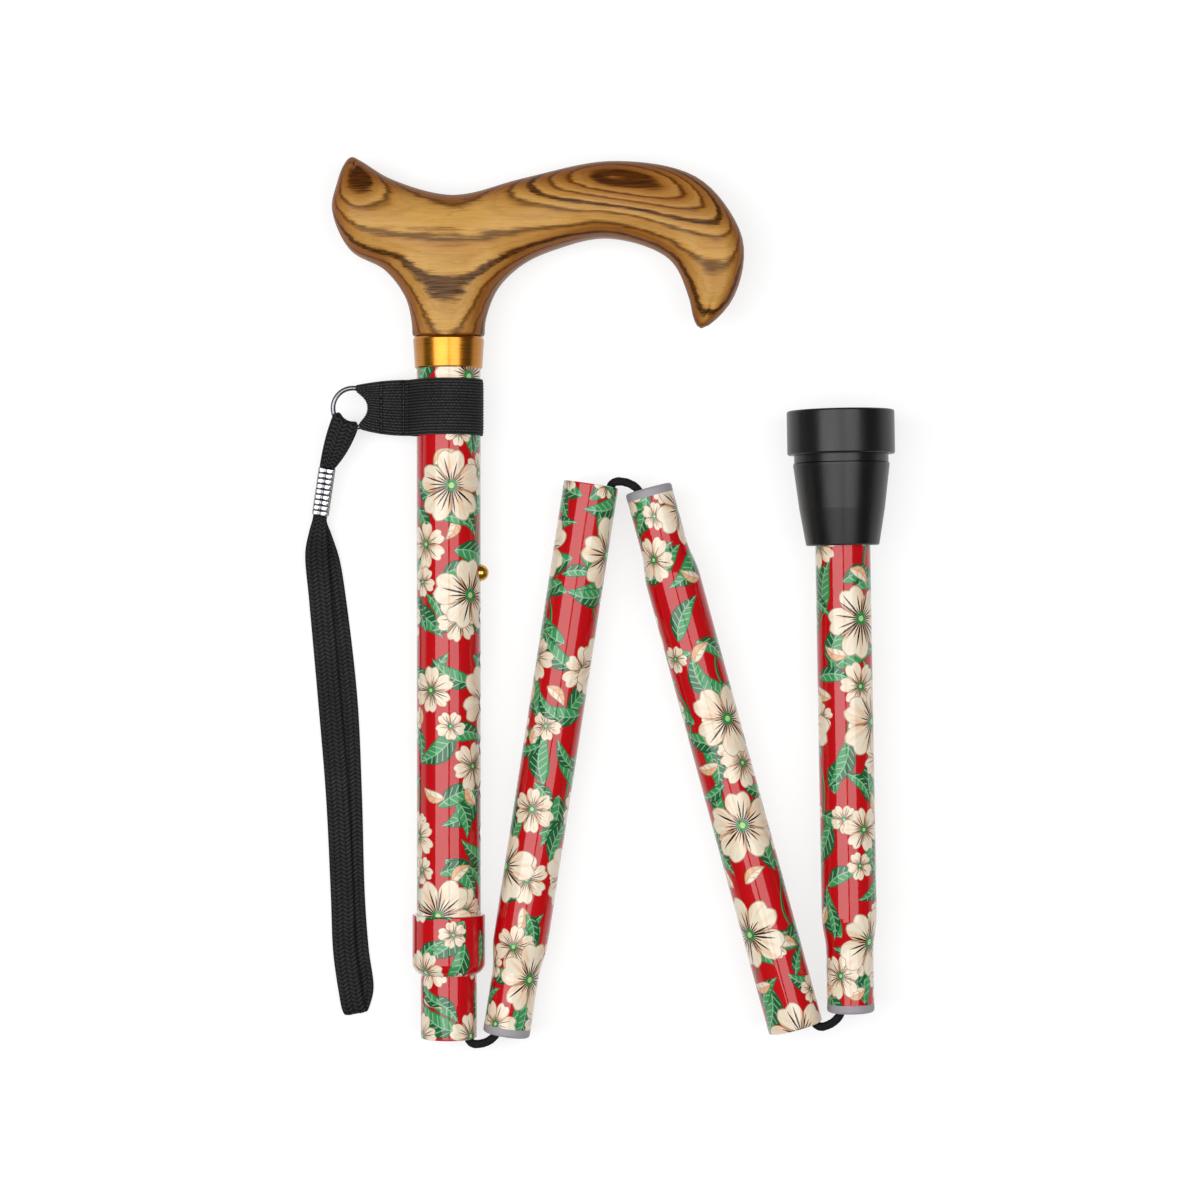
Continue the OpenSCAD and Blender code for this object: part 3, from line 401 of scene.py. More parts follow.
def blossom_group(c):
    """Blossom in polar coordinates: round petals with a notch, fine streaks, ink strokes and a green eye.

    With s from 0 on a petal's middle to 1 between petals, the edge lies at
    L (1 - 0.4 s^3) less a small notch, where L varies from petal to petal.
    """
    tree, n, i, done = new_group(
        "blossom", ["place", "radius", "petals", "chance", "share"], ["colour", "mask"])
    at = n("SeparateXYZ", [i["place"]]).node
    r = n("DIVIDE", [n("VectorMath", [i["place"]], out=1, operation="LENGTH"), i["radius"]])
    turn = n("MULTIPLY", [n("ARCTAN2", [at.outputs[1], at.outputs[0]]), 0.5 / math.pi])
    a = n("MULTIPLY", [n("ADD", [turn, 1.0]), i["petals"]])
    s = n("ABSOLUTE", [n("SUBTRACT", [n("MULTIPLY", [n("FRACT", [a]), 2.0]), 1.0])])
    which = n("FLOORED_MODULO", [n("FLOOR", [a]), i["petals"]])
    dice = n("TexWhiteNoise", {"Vector": n("CombineXYZ", [which, n("MULTIPLY", [i["chance"], 97.0]), 3.0])})
    reach = n("ADD", [n("MULTIPLY", [dice, 0.17]), 0.83])
    bow = n("SUBTRACT", [1.0, n("MULTIPLY", [n("POWER", [s, 3.0]), 0.4])])
    notch = n("MULTIPLY", [n("MAXIMUM", [n("SUBTRACT", [0.32, s]), 0.0]), 0.34])
    edge = n("MULTIPLY", [n("SUBTRACT", [bow, notch]), reach])
    # Fine streaks along the petals, warm towards the eye and the sides
    ray = [n("MULTIPLY", pair) for pair in ([a, 7.0], [r, 1.6], [i["chance"], 50.0])]
    streak = n("TexNoise", {"Vector": n("CombineXYZ", ray), "Scale": 1.0, "Detail": 3.0})
    warm = n("MULTIPLY_ADD", [n("SUBTRACT", [0.62, r]), 0.75, n("MULTIPLY", [n("POWER", [s, 2.0]), 0.3])])
    warm = n("MULTIPLY_ADD", [n("SUBTRACT", [streak, 0.47]), 2.4, warm], use_clamp=True)
    shade = n("Mix", {0: warm, 6: c.cream, 7: c.peach}, **MIX_COLOURS)
    # Thin brown lines between petals and round the edge
    between = n("LESS_THAN", [n("MULTIPLY", [n("SUBTRACT", [1.0, s]), r]), 0.045])
    rim = n("GREATER_THAN", [r, n("SUBTRACT", [edge, 0.03])])
    line = n("MULTIPLY", [n("MAXIMUM", [between, rim]), 0.62])
    shade = n("Mix", {0: line, 6: shade, 7: linear("#8A5A35")}, **MIX_COLOURS)
    # Ink strokes that taper out from the eye, five on a petal
    b = n("MULTIPLY", [a, 5.0])
    lot = n("FLOORED_MODULO", [n("FLOOR", [b]), n("MULTIPLY", [i["petals"], 5.0])])
    lot = n("TexWhiteNoise", {"Vector": n("CombineXYZ", [lot, n("MULTIPLY", [i["chance"], 31.0]), 7.0])})
    far = n("MULTIPLY_ADD", [n("POWER", [lot, 1.4]), 0.5, 0.3])
    taper = n("DIVIDE", [n("SUBTRACT", [far, r]), n("SUBTRACT", [far, 0.1])])
    off = n("ABSOLUTE", [n("SUBTRACT", [n("MULTIPLY", [n("FRACT", [b]), 2.0]), 1.0])])
    stroke = n("LESS_THAN", [off, n("MULTIPLY", [taper, 0.85])])
    outer, inner = (n("LESS_THAN", [r, size]) for size in (0.15, 0.07))
    for cover, tint in ((stroke, c.ink), (outer, linear("#2E8B4A")), (inner, linear("#B9D88A"))):
        shade = n("Mix", {0: cover, 6: shade, 7: tint}, **MIX_COLOURS)
    mask = n("MULTIPLY", [n("LESS_THAN", [r, edge]), n("LESS_THAN", [i["chance"], i["share"]])])
    done({"colour": shade, "mask": mask})
    return tree


def leaf_group():
    """Leaf along x: half its width follows sin(pi t^0.75) on a bent middle line, with two
    tones, slanting pale veins and a dark rim."""
    labels = ["place", "length", "width", "chance", "share", "colour dark", "colour light", "colour vein"]
    tree, n, i, done = new_group("leaf", labels, ["colour", "mask"])
    at = n("SeparateXYZ", [i["place"]]).node
    t = n("ADD", [n("DIVIDE", [at.outputs[0], i["length"]]), 0.5], use_clamp=True)
    half = n("SINE", [n("MULTIPLY", [n("POWER", [t, 0.75]), math.pi])])
    half = n("MULTIPLY", [n("MULTIPLY", [half, i["width"]]), 0.5])
    bow = n("MULTIPLY", [n("POWER", [n("ABSOLUTE", [n("SUBTRACT", [t, 0.5])]), 2.0]), 0.55])
    y = n("SUBTRACT", [at.outputs[1], n("MULTIPLY", [n("SUBTRACT", [bow, 0.06]), i["length"]])])
    away = n("ABSOLUTE", [y])
    tone = n("MULTIPLY_ADD", [n("GREATER_THAN", [y, 0.0]), 0.8, 0.1])
    shade = n("Mix", {0: tone, 6: i["colour dark"], 7: i["colour light"]}, **MIX_COLOURS)
    rank = n("FRACT", [n("MULTIPLY", [n("SUBTRACT", [at.outputs[0], n("MULTIPLY", [away, 0.8])]), 0.42])])
    vein = n("MULTIPLY", [n("LESS_THAN", [rank, 0.2]), n("LESS_THAN", [away, n("MULTIPLY", [half, 0.8])])])
    vein = n("MULTIPLY", [n("MAXIMUM", [vein, n("LESS_THAN", [away, 0.22])]), 0.6])
    rim = n("MULTIPLY", [n("GREATER_THAN", [away, n("SUBTRACT", [half, 0.3])]), 0.65])
    for cover, tint in ((vein, i["colour vein"]), (rim, linear("#0C3018"))):
        shade = n("Mix", {0: cover, 6: shade, 7: tint}, **MIX_COLOURS)
    mask = n("MULTIPLY", [n("LESS_THAN", [away, half]), n("LESS_THAN", [i["chance"], i["share"]])])
    done({"colour": shade, "mask": mask})
    return tree


def print_group(c, sizes):
    """Whole print: red ground, winding stems, leaves, then blossoms from small to large.

    Inputs are the place round and along the tube and its girth, in millimetres.
    """
    tree, n, i, done = new_group("floral_print", ["around", "along", "girth"], ["colour"])
    scatter, blossom, leaf = scatter_group(), blossom_group(c), leaf_group()
    # Two stems sway up each tube
    wide = n("DIVIDE", [i["girth"], 2.0])
    lane = n("DIVIDE", [i["around"], wide])
    odd = n("FLOORED_MODULO", [n("FLOOR", [lane]), 2.0])
    sway = n("SINE", [n("MULTIPLY_ADD", [i["along"], 1 / 12.5, n("MULTIPLY", [odd, 2.1])])])
    quick = n("SINE", [n("MULTIPLY_ADD", [i["along"], 1 / 4.7, n("MULTIPLY", [odd, 0.9])])])
    line = n("MULTIPLY_ADD", [sway, 6.5, n("MULTIPLY", [quick, 1.6])])
    off = n("SUBTRACT", [n("MULTIPLY", [n("SUBTRACT", [n("FRACT", [lane]), 0.5]), wide]), line])
    stem = n("LESS_THAN", [n("ABSOLUTE", [off]), 0.62])
    lit = n("GREATER_THAN", [off, 0.1])
    tone = n("Mix", {0: lit, 6: c.leaf_dark, 7: c.leaf_light}, **MIX_COLOURS)
    shade = n("Mix", {0: stem, 6: c.ground, 7: tone}, **MIX_COLOURS)
    greens = [c.leaf_dark, c.leaf_light, c.vein]
    creams = [c.peach, c.cream, linear("#C98F5E")]
    big = sizes.blossom / MM
    # Columns round, row height, jitter, share of cells, then the motif's own sizes
    layers = (
        (leaf, 3, 22.0, 0.06, 0.8, (19.0, 8.2), greens),
        (leaf, 4, 17.0, 0.1, 0.75, (14.0, 6.0), greens),
        (leaf, 3, 21.0, 0.06, 0.6, (18.0, 7.0), greens),
        (leaf, 5, 13.0, 0.1, 0.28, (9.5, 4.4), creams),
        (blossom, 4, 17.0, 0.2, 0.34, (0.4 * big, 5.0), ()),
        (leaf, 4, 15.5, 0.06, 0.4, (13.0, 4.6), greens),
        (blossom, 3, 25.0, 0.1, 0.5, (0.63 * big, 6.0), ()),
        (blossom, 2, 37.0, 0.06, 0.64, (big, 5.0), ()),
    )
    for seed, (motif, columns, height, jitter, share, shape, tints) in enumerate(layers):
        width = n("DIVIDE", [i["girth"], float(columns)])
        cell = n("Group", node_tree=scatter, inputs=[
            i["around"], i["along"], float(columns), width, height, seed + 1.0, jitter]).node
        values = [cell.outputs[0], *shape, cell.outputs[1], share, *tints]
        drawn = n("Group", values, node_tree=motif).node
        shade = n("Mix", {0: drawn.outputs[1], 6: shade, 7: drawn.outputs[0]}, **MIX_COLOURS)
    done({"colour": shade})
    return tree


def frame_on(axis):
    """Three directions on a round piece: right, out of the cane's plane, and along its axis."""
    across = np.cross(OUT, axis)
    across = RIGHT if np.linalg.norm(across) < 0.1 else unit(across)
    return np.stack([across, unit(np.cross(axis, across)), axis])


def axis_of(node_name, direction):
    """Middle point of a node across a direction, in millimetres."""
    rows = frame_on(direction)
    q = node_points(node_name) @ rows.T
    return (q.min(0) + q.max(0)) / 2 @ rows


def turned_to(n, rows, centre, start=0.0):
    """Object coordinates in millimetres along three directions, from a centre and, on the third, a start."""
    place = -rows @ np.asarray(centre, float)
    place[2] += start
    return n("Mapping", {
        "Vector": n("TexCoord", out=3), "Scale": (1000,) * 3, "Location": place,
        "Rotation": Matrix(rows).to_euler()})


def printed_tube(name, pattern, axis, centre, radius, start):
    """Aluminium tube, printed and lacquered: bright gloss over the print, and bare satin metal in bores
    and on rims."""
    material, n, finish = new_material(name)
    rows = frame_on(axis)
    at = n("SeparateXYZ", [turned_to(n, rows, centre, start)]).node
    around = n("MULTIPLY", [n("ARCTAN2", at.outputs[:2]), float(radius)])
    drawn = n("Group", [around, at.outputs[2], 2 * math.pi * radius], node_tree=pattern)
    # Faces that look away from the axis are printed
    flat = n("CombineXYZ", [at.outputs[0], at.outputs[1], 0.0])
    outward = n("VectorMath", [flat], operation="NORMALIZE")
    facing = n("Mapping", {"Vector": n("TexCoord", out=1), "Rotation": Matrix(rows).to_euler()})
    facing = n("VectorMath", [outward, facing], out=1, operation="DOT_PRODUCT")
    covered = n("GREATER_THAN", [facing, 0.45])
    tint = n("Mix", {0: covered, 6: linear("#C9CBCE"), 7: drawn}, **MIX_COLOURS)
    # Lacquer has a slight orange peel, 4 mm across
    peel = n("TexNoise", {"Vector": n("TexCoord", out=3), "Scale": 250.0, "Detail": 1.0})
    finish({
        "Base Color": tint, "Metallic": n("SUBTRACT", [1.0, covered]),
        "Roughness": n("MULTIPLY_ADD", [peel, 0.1, 0.3]), "Specular IOR Level": 0.05,
        "Coat Weight": 1.0, "Coat Roughness": 0.025, "Coat IOR": 1.42,
        "Coat Normal": n("Bump", {"Strength": 0.035, "Distance": 0.0004, "Height": peel})})
    return material


class CANE_OT_tubes(bpy.types.Operator):
    """Prints the tubes and the lock ring with blossoms under clear lacquer"""
    bl_idname = "cane.tubes"
    bl_label = "Printed tubes"

    def execute(self, context):
        pattern = print_group(context.scene.cane_colours, context.scene.cane_sizes)
        seats = [unit(JOINTS[f"seat_{fold}"]["axis"]) for fold in ("upper", "middle", "lower")]
        # Node, axis, radius, and where along the endless print the tube's middle lies
        tubes = (
            ("upper_tube", UP, TUBE_R, 40.0), ("lock_ring", UP, 12.65, 331.0),
            ("adjust_tube", UP, 9.75, 640.0), ("section_2_tube", seats[0], 9.525, 905.0),
            ("section_3_tube", seats[1], 9.525, 1300.0), ("section_4_tube", seats[2], 9.525, 1610.0))
        for name, axis, radius, start in tubes:
            dress(name, printed_tube(name + "_print", pattern, axis, axis_of(name, axis), radius, start))
        return {"FINISHED"}


# Handle: sizes of its outline, as shares of the nose's and hook's reach and the grip's height
STEM_R = 12.5
NOSE_REACH = 40.4
HOOK_REACH = 102.4
GRIP_HEIGHT = 60.7
COLLAR_HEIGHT = 10.8
HALF_THICK = 13.0
END_HALF = 4.5
STEM_SWELL = 1.03
# Power of the superellipse across the arms where they meet
SQUARE = 2.6
ARM_RIBS = 44
RIB_STEPS = 26
FINE = 16
OUTLINE = (
    ((-0.374, 0.234), (-0.554, 0.389)),
    ((-0.847, 0.502), (-1, 0.731), (-0.96, 0.873), (-0.902, 0.985), (-0.84, 1.035)),
    ((-0.757, 1.012), (-0.485, 0.903), (0.022, 0.811)),
    ((0.252, 0.903), (0.563, 1), (0.845, 0.903), (0.983, 0.616), (1, 0.445), (0.963, 0.217),
     (0.894, 0.081), (0.852, 0.04)),
    ((0.83, 0.096), (0.812, 0.227), (0.746, 0.445), (0.54, 0.565), (0.36, 0.502), (0.251, 0.417)),
    ((0.167, 0.28),),
)
# Where the three ridges meet, and how far each ridge's end lies off the middle of its arm
SADDLE = (0.01, 0.54)
RIDGE_INSETS = ((0, 0), (0.06 * NOSE_REACH, -0.06 * GRIP_HEIGHT), (0.0215 * HOOK_REACH, 0.082 * GRIP_HEIGHT))


def laid(p):
    """Points of the cane's plane in the row frame, with heights out of the plane."""
    return SHAFT + np.asarray(p, float) @ PLANE


def on_handle(pairs):
    """Outline points from shares."""
    p = np.asarray(pairs, float)
    return p * np.stack([np.where(p[:, 0] < 0, NOSE_REACH, HOOK_REACH), np.full(len(p), GRIP_HEIGHT)], 1)


def handle_surface():
    """Handle as ribs from its outline to the ridge of each of its three arms.

    A rib at outline point o runs over its ridge point s as s + (o - s) cos(f)^e at height
    h sin(f)^e, with f from -90 to 90 degrees and e from a superellipse of 2.6 down to 2.
    """
    parts = [on_handle(pairs) for pairs in OUTLINE]
    swell = np.array([STEM_SWELL * STEM_R, 0.1 * GRIP_HEIGHT])
    foot = np.array([STEM_R, 0.0])
    parts[0] = np.vstack([foot * [-1, 1], swell * [-1, 1], parts[0]])
    parts[5] = np.vstack([parts[5], swell, foot])
    line = curve(np.vstack(parts), FINE)
    last = np.cumsum([len(p) for p in parts]) - 1
    first = np.concatenate([[0], last[:-1]])
    runs = [even(line[a * FINE:b * FINE + 1], ARM_RIBS)[0] for a, b in zip(first, last)]
    u = (np.arange(ARM_RIBS + 1) / ARM_RIBS)[:, None]
    middle = on_handle([SADDLE])[0]
    sides = ((runs[0][::-1], runs[5]), (runs[1], runs[2][::-1]), (runs[3], runs[4][::-1]))
    ridges = [(near + far) / 2 + (middle - (near[0] + far[0]) / 2) * (1 - u) ** 3 + np.array(inset) * u ** 3
              for (near, far), inset in zip(sides, RIDGE_INSETS)]
    u = u[:, 0]
    taper = END_HALF + (HALF_THICK - END_HALF) * (1 - u ** 3) ** 0.6
    halves = [HALF_THICK + (STEM_R - HALF_THICK) * u * u * (3 - 2 * u), taper, taper]
    squares = [SQUARE - (SQUARE - 2) * u ** fade for fade in (2, 4, 4)]
    order = ((0, -1), (1, 1), (1, -1), (2, 1), (2, -1), (0, 1))
    rim = np.vstack([run[:-1] for run in runs] + [runs[5][-1:]])

    def carried(values):
        """Values along the three arms, in the order of the outline."""
        rows = [values[arm][::way][:-1] for arm, way in order]
        return np.concatenate(rows + [values[0][-1:]])
    ridge, half, square = carried(ridges), carried(halves), carried(squares)
    f = np.pi / 2 * np.arange(-RIB_STEPS, RIB_STEPS + 1)[:, None] / RIB_STEPS
    e = 2 / square[None, :]
    reach = np.abs(np.cos(f)) ** e
    reach[[0, -1]] = 0
    flat = ridge[None] + (rim - ridge)[None] * reach[..., None]
    height = np.sign(f) * half[None] * np.abs(np.sin(f)) ** e
    return laid(np.concatenate([flat + [0, COLLAR_HEIGHT], height[..., None]], -1))


# Grain of the handle: how fast the growth layers climb up the grip and out of the plane, and from where
CLIMB_UP = 0.253
CLIMB_OUT = 1.15
CLIMB_FROM = 5.6
# Along the hook the climb fades out from here, over this length, below a line of this slope and height
HOOK_FROM = 42.0
HOOK_FADE = 20.0
HOOK_SLOPE = 0.2
HOOK_HEIGHT = 39.0
# The hump's swelling bows down with the square of the distance from here
BOW_FROM = 40.0
BOW = 0.0045
# Middle, half axes and rise of the swellings under the hump and the nose
HUMP = (62, 67, 36, 10.5, 17.5)
NOSE = (-31, 66, 12, 11, 6.0)
# Lengths of a slow wander and a fine ripple along the three directions, their detail and swing
WANDERS = (((55, 14, 30), 2.0, 4.5), ((9, 1.6, 3), 3.0, 1.6))
FIBRE = (14, 0.55, 0.9)


def lacquered_wood(c, sizes):
    """Ash-like hardwood, stained and lacquered: frayed dark bands on gold under a soft gloss.

    Growth layers climb up the grip and out of the cane's plane, and swell under the hump and the nose by
    exp(-d^2.5), where d is the distance from the middle in half axes. The surface cuts them in nested
    loops there, in wide bands over the flat and in close lines along the edges.
    """
    material, n, finish = new_material("lacquered_wood")
    at = turned_to(n, PLANE, SHAFT)
    x, y, z = n("SeparateXYZ", [at]).node.outputs
    hook = n("MULTIPLY", [n("SUBTRACT", [x, HOOK_FROM]), 1 / HOOK_FADE], use_clamp=True)
    level = n("SUBTRACT", [n("MULTIPLY_ADD", [x, HOOK_SLOPE, HOOK_HEIGHT]), y])
    level = n("MULTIPLY_ADD", [n("MAXIMUM", [level, 0.0]), hook, n("SUBTRACT", [y, CLIMB_FROM])])
    field = n("MULTIPLY_ADD", [level, CLIMB_UP, n("MULTIPLY", [z, CLIMB_OUT])])
    past = n("MAXIMUM", [n("SUBTRACT", [x, BOW_FROM]), 0.0])
    bowed = n("CombineXYZ", [x, n("MULTIPLY_ADD", [n("POWER", [past, 2.0]), BOW, y]), 0.0])
    stain = 0.0
    for spot, (mid_x, mid_y, wide, high, rise) in ((bowed, HUMP), (at, NOSE)):
        near = n("Mapping", {
            "Vector": spot, "Scale": (1 / wide, 1 / high, 0),
            "Location": (-mid_x / wide, -mid_y / high, 0)})
        near = n("VectorMath", [near], out=1, operation="LENGTH")
        swell = n("EXPONENT", [n("MULTIPLY", [n("POWER", [near, 2.5]), -1.0])])
        field = n("MULTIPLY_ADD", [swell, rise, field])
        stain = n("MAXIMUM", [stain, swell])
    for size, detail, swing in WANDERS:
        wander = n("Mapping", {"Vector": at, "Scale": [1 / part for part in size]})
        wander = n("TexNoise", {"Vector": wander, "Scale": 1.0, "Detail": detail})
        field = n("MULTIPLY_ADD", [n("SUBTRACT", [wander, 0.5]), swing, field])
    # Fibres and pores, drawn 0.5 mm wide so that they show, fray the layers' edges
    fibre = n("Mapping", {"Vector": at, "Scale": [1 / part for part in FIBRE]})
    fibre = n("TexNoise", {"Vector": fibre, "Scale": 1.0, "Detail": 4.0, "Roughness": 0.65})
    field = n("MULTIPLY_ADD", [n("SUBTRACT", [fibre, 0.5]), 1.5, field])
    layer = n("DIVIDE", [field, sizes.grain_pitch / MM])
    year = n("FRACT", [layer])
    # Every third layer's dark band is broad, and the two between are thin
    lot = n("MULTIPLY", [n("SUBTRACT", [n("FLOOR", [layer]), 4.0]), 2 * math.pi / 3])
    lot = n("MULTIPLY_ADD", [n("COSINE", [lot]), 0.5, 0.5])
    # A layer turns amber, then ends in a soft dark band broken by the fibres, with a faint one half way
    late = n("SUBTRACT", [year, n("MULTIPLY_ADD", [lot, -0.22, 0.64])])
    late = n("MULTIPLY", [n("MULTIPLY", [late, 5.0], use_clamp=True),
                          n("MULTIPLY", [n("SUBTRACT", [1.0, year]), 7.0], use_clamp=True)])
    late = n("MULTIPLY", [late, n("MULTIPLY_ADD", [lot, 0.3, 0.62])])
    half = n("MULTIPLY", [n("POWER", [n("FRACT", [n("MULTIPLY_ADD", [layer, 2.0, 0.25])]), 5.0]), 0.2])
    late = n("MAXIMUM", [late, half])
    streak = n("MULTIPLY", [n("SUBTRACT", [fibre, 0.22]), 2.6], use_clamp=True)
    late = n("MULTIPLY", [late, n("MULTIPLY_ADD", [streak, 0.6, 0.48])], use_clamp=True)
    pale = n("MULTIPLY_ADD", [n("SUBTRACT", [fibre, 0.5]), 2.2, 0.7], use_clamp=True)
    shade = n("Mix", {0: pale, 6: c.wood_gold, 7: c.wood_pale}, **MIX_COLOURS)
    warm = n("MINIMUM", [n("SUBTRACT", [year, 0.2]), n("MULTIPLY", [n("SUBTRACT", [1.0, year]), 3.0])])
    warm = n("MULTIPLY_ADD", [stain, 0.6, n("MULTIPLY", [warm, 0.8], use_clamp=True)], use_clamp=True)
    # Painted shade: the rounded edges, which tilt away from the plane's normal and so from the lamps above,
    # are painted amber
    tilt = n("VectorMath", [n("TexCoord", out=1), OUT.tolist()], out=1, operation="DOT_PRODUCT")
    edge = n("MULTIPLY", [n("SUBTRACT", [0.97, n("ABSOLUTE", [tilt])]), 3.2], use_clamp=True)
    edge = n("MULTIPLY", [edge, 0.85])
    pore = n("MULTIPLY", [n("GREATER_THAN", [fibre, 0.63]), 0.25])
    dark = n("MAXIMUM", [late, pore], use_clamp=True)
    # warm is stain in the wood; edge is painted shade in amber on the rounded edges
    for cover, tint in ((warm, c.wood_amber_and_edge_shade), (edge, c.wood_amber_and_edge_shade), (dark, c.wood_dark)):
        shade = n("Mix", {0: cover, 6: shade, 7: tint}, **MIX_COLOURS)
    finish({
        "Base Color": shade, "Roughness": n("MULTIPLY_ADD", [fibre, 0.18, 0.3]),
        "Normal": n("Bump", {"Strength": 0.12, "Distance": 0.0003, "Height": fibre}),
        "Specular IOR Level": 0.05, "Coat Weight": 0.18, "Coat Roughness": 0.16, "Coat IOR": 1.4})
    return material


class CANE_OT_handle(bpy.types.Operator):
    """Lofts the derby handle and gives it its lacquered wood"""
    bl_idname = "cane.handle"
    bl_label = "Handle"

    def execute(self, context):
        scene = context.scene
        wood = lacquered_wood(scene.cane_colours, scene.cane_sizes)
        piece = grid_piece("derby_handle", handle_surface(), wood, round_v=True)
        weld = piece.modifiers.new("weld", "WELD")
        weld.merge_threshold = 0.02 * MM
        soft = piece.modifiers.new("soften", "SMOOTH")
        soft.factor = 0.5
        soft.iterations = 3
        settle(piece, "upper_shaft", "wood", "handle")
        return {"FINISHED"}


# Soft pieces
def woven_nylon(name, crest, pitch):
    """Black nylon yarn, woven or plaited: dull dark threads with a painted sheen towards the crest colour,
    and painted shade in the valleys.

    The thread grain runs on the piece's own lay, in millimetres; it is drawn a pitch wide, coarser than
    real thread, so that it shows."""
    material, n, finish = new_material(name)
    thread = n("Mapping", {"Vector": n("TexCoord", out=2), "Scale": (1 / (2.2 * pitch), 1 / pitch, 1)})
    thread = n("TexNoise", {"Vector": thread, "Scale": 1.0, "Detail": 3.0, "Roughness": 0.7})
    patch = n("TexNoise", {"Vector": n("TexCoord", out=3), "Scale": 90.0, "Detail": 2.0})
    deep = n("Attribute", attribute_name="depth", out=2)
    # Painted sheen and shade: the thread grain lifts the tone towards the crest grey, and the depth
    # attribute takes it to near black in the valleys
    tone = n("MULTIPLY_ADD", [thread, 1.7, n("MULTIPLY_ADD", [patch, 0.4, -0.57])])
    tone = n("MULTIPLY", [tone, n("SUBTRACT", [1.0, deep])], use_clamp=True)
    finish({
        "Base Color": n("Mix", {0: tone, 6: linear("#040405"), 7: crest}, **MIX_COLOURS),
        "Roughness": n("MULTIPLY_ADD", [thread, 0.25, 0.5]), "Specular IOR Level": 0.07,
        "Normal": n("Bump", {"Strength": 0.35, "Distance": 0.0002, "Height": thread})})
    return material


# Route of the loop: place from the point below the shaft, turn of its width in degrees, share of its width
LOOP_ROUTE = (
    (-46, -57, 6.4, -4, 0.8), (-46.6, -64, 4.6, 2, 1), (-45.4, -80, 2.9, 6, 1), (-42.3, -115, 2.6, 5, 1),
    (-39.5, -149, 2.6, 4, 1), (-37.8, -184, 2.6, 2, 1), (-37, -203, 2.8, 5, 1), (-35, -217, 3.4, 9, 1),
    (-33.8, -223, 3.2, 10, 1), (-33, -224.6, 2, 10, 1), (-32.2, -223, 1, 10, 1), (-30.9, -217, 0.9, 9, 1),
    (-32.6, -203, 0.9, 6, 1), (-34, -184, 0.9, 2, 1), (-35, -149, 0.9, 3, 1), (-36.6, -115, 0.9, 6, 1),
    (-40.6, -80, 0.9, 6, 1), (-42.8, -66, 1.8, 2, 1), (-44.6, -57, 4.2, -4, 0.8))
# Both strands at the crimp's foot: distance from its middle, share of their width, gap to the crimp
STRAND_LIFT = 0.85
STRAND_SHARE = 0.6
STRAND_GAP = 0.05
# Lace eye: width, angle on the ring where it starts and that it covers, a layer's belly, step along it
EYE_WIDTH = 11.0
EYE_FROM = 197
EYE_SWEEP = 88
EYE_BELLY = 0.42
EYE_STEP = 0.33


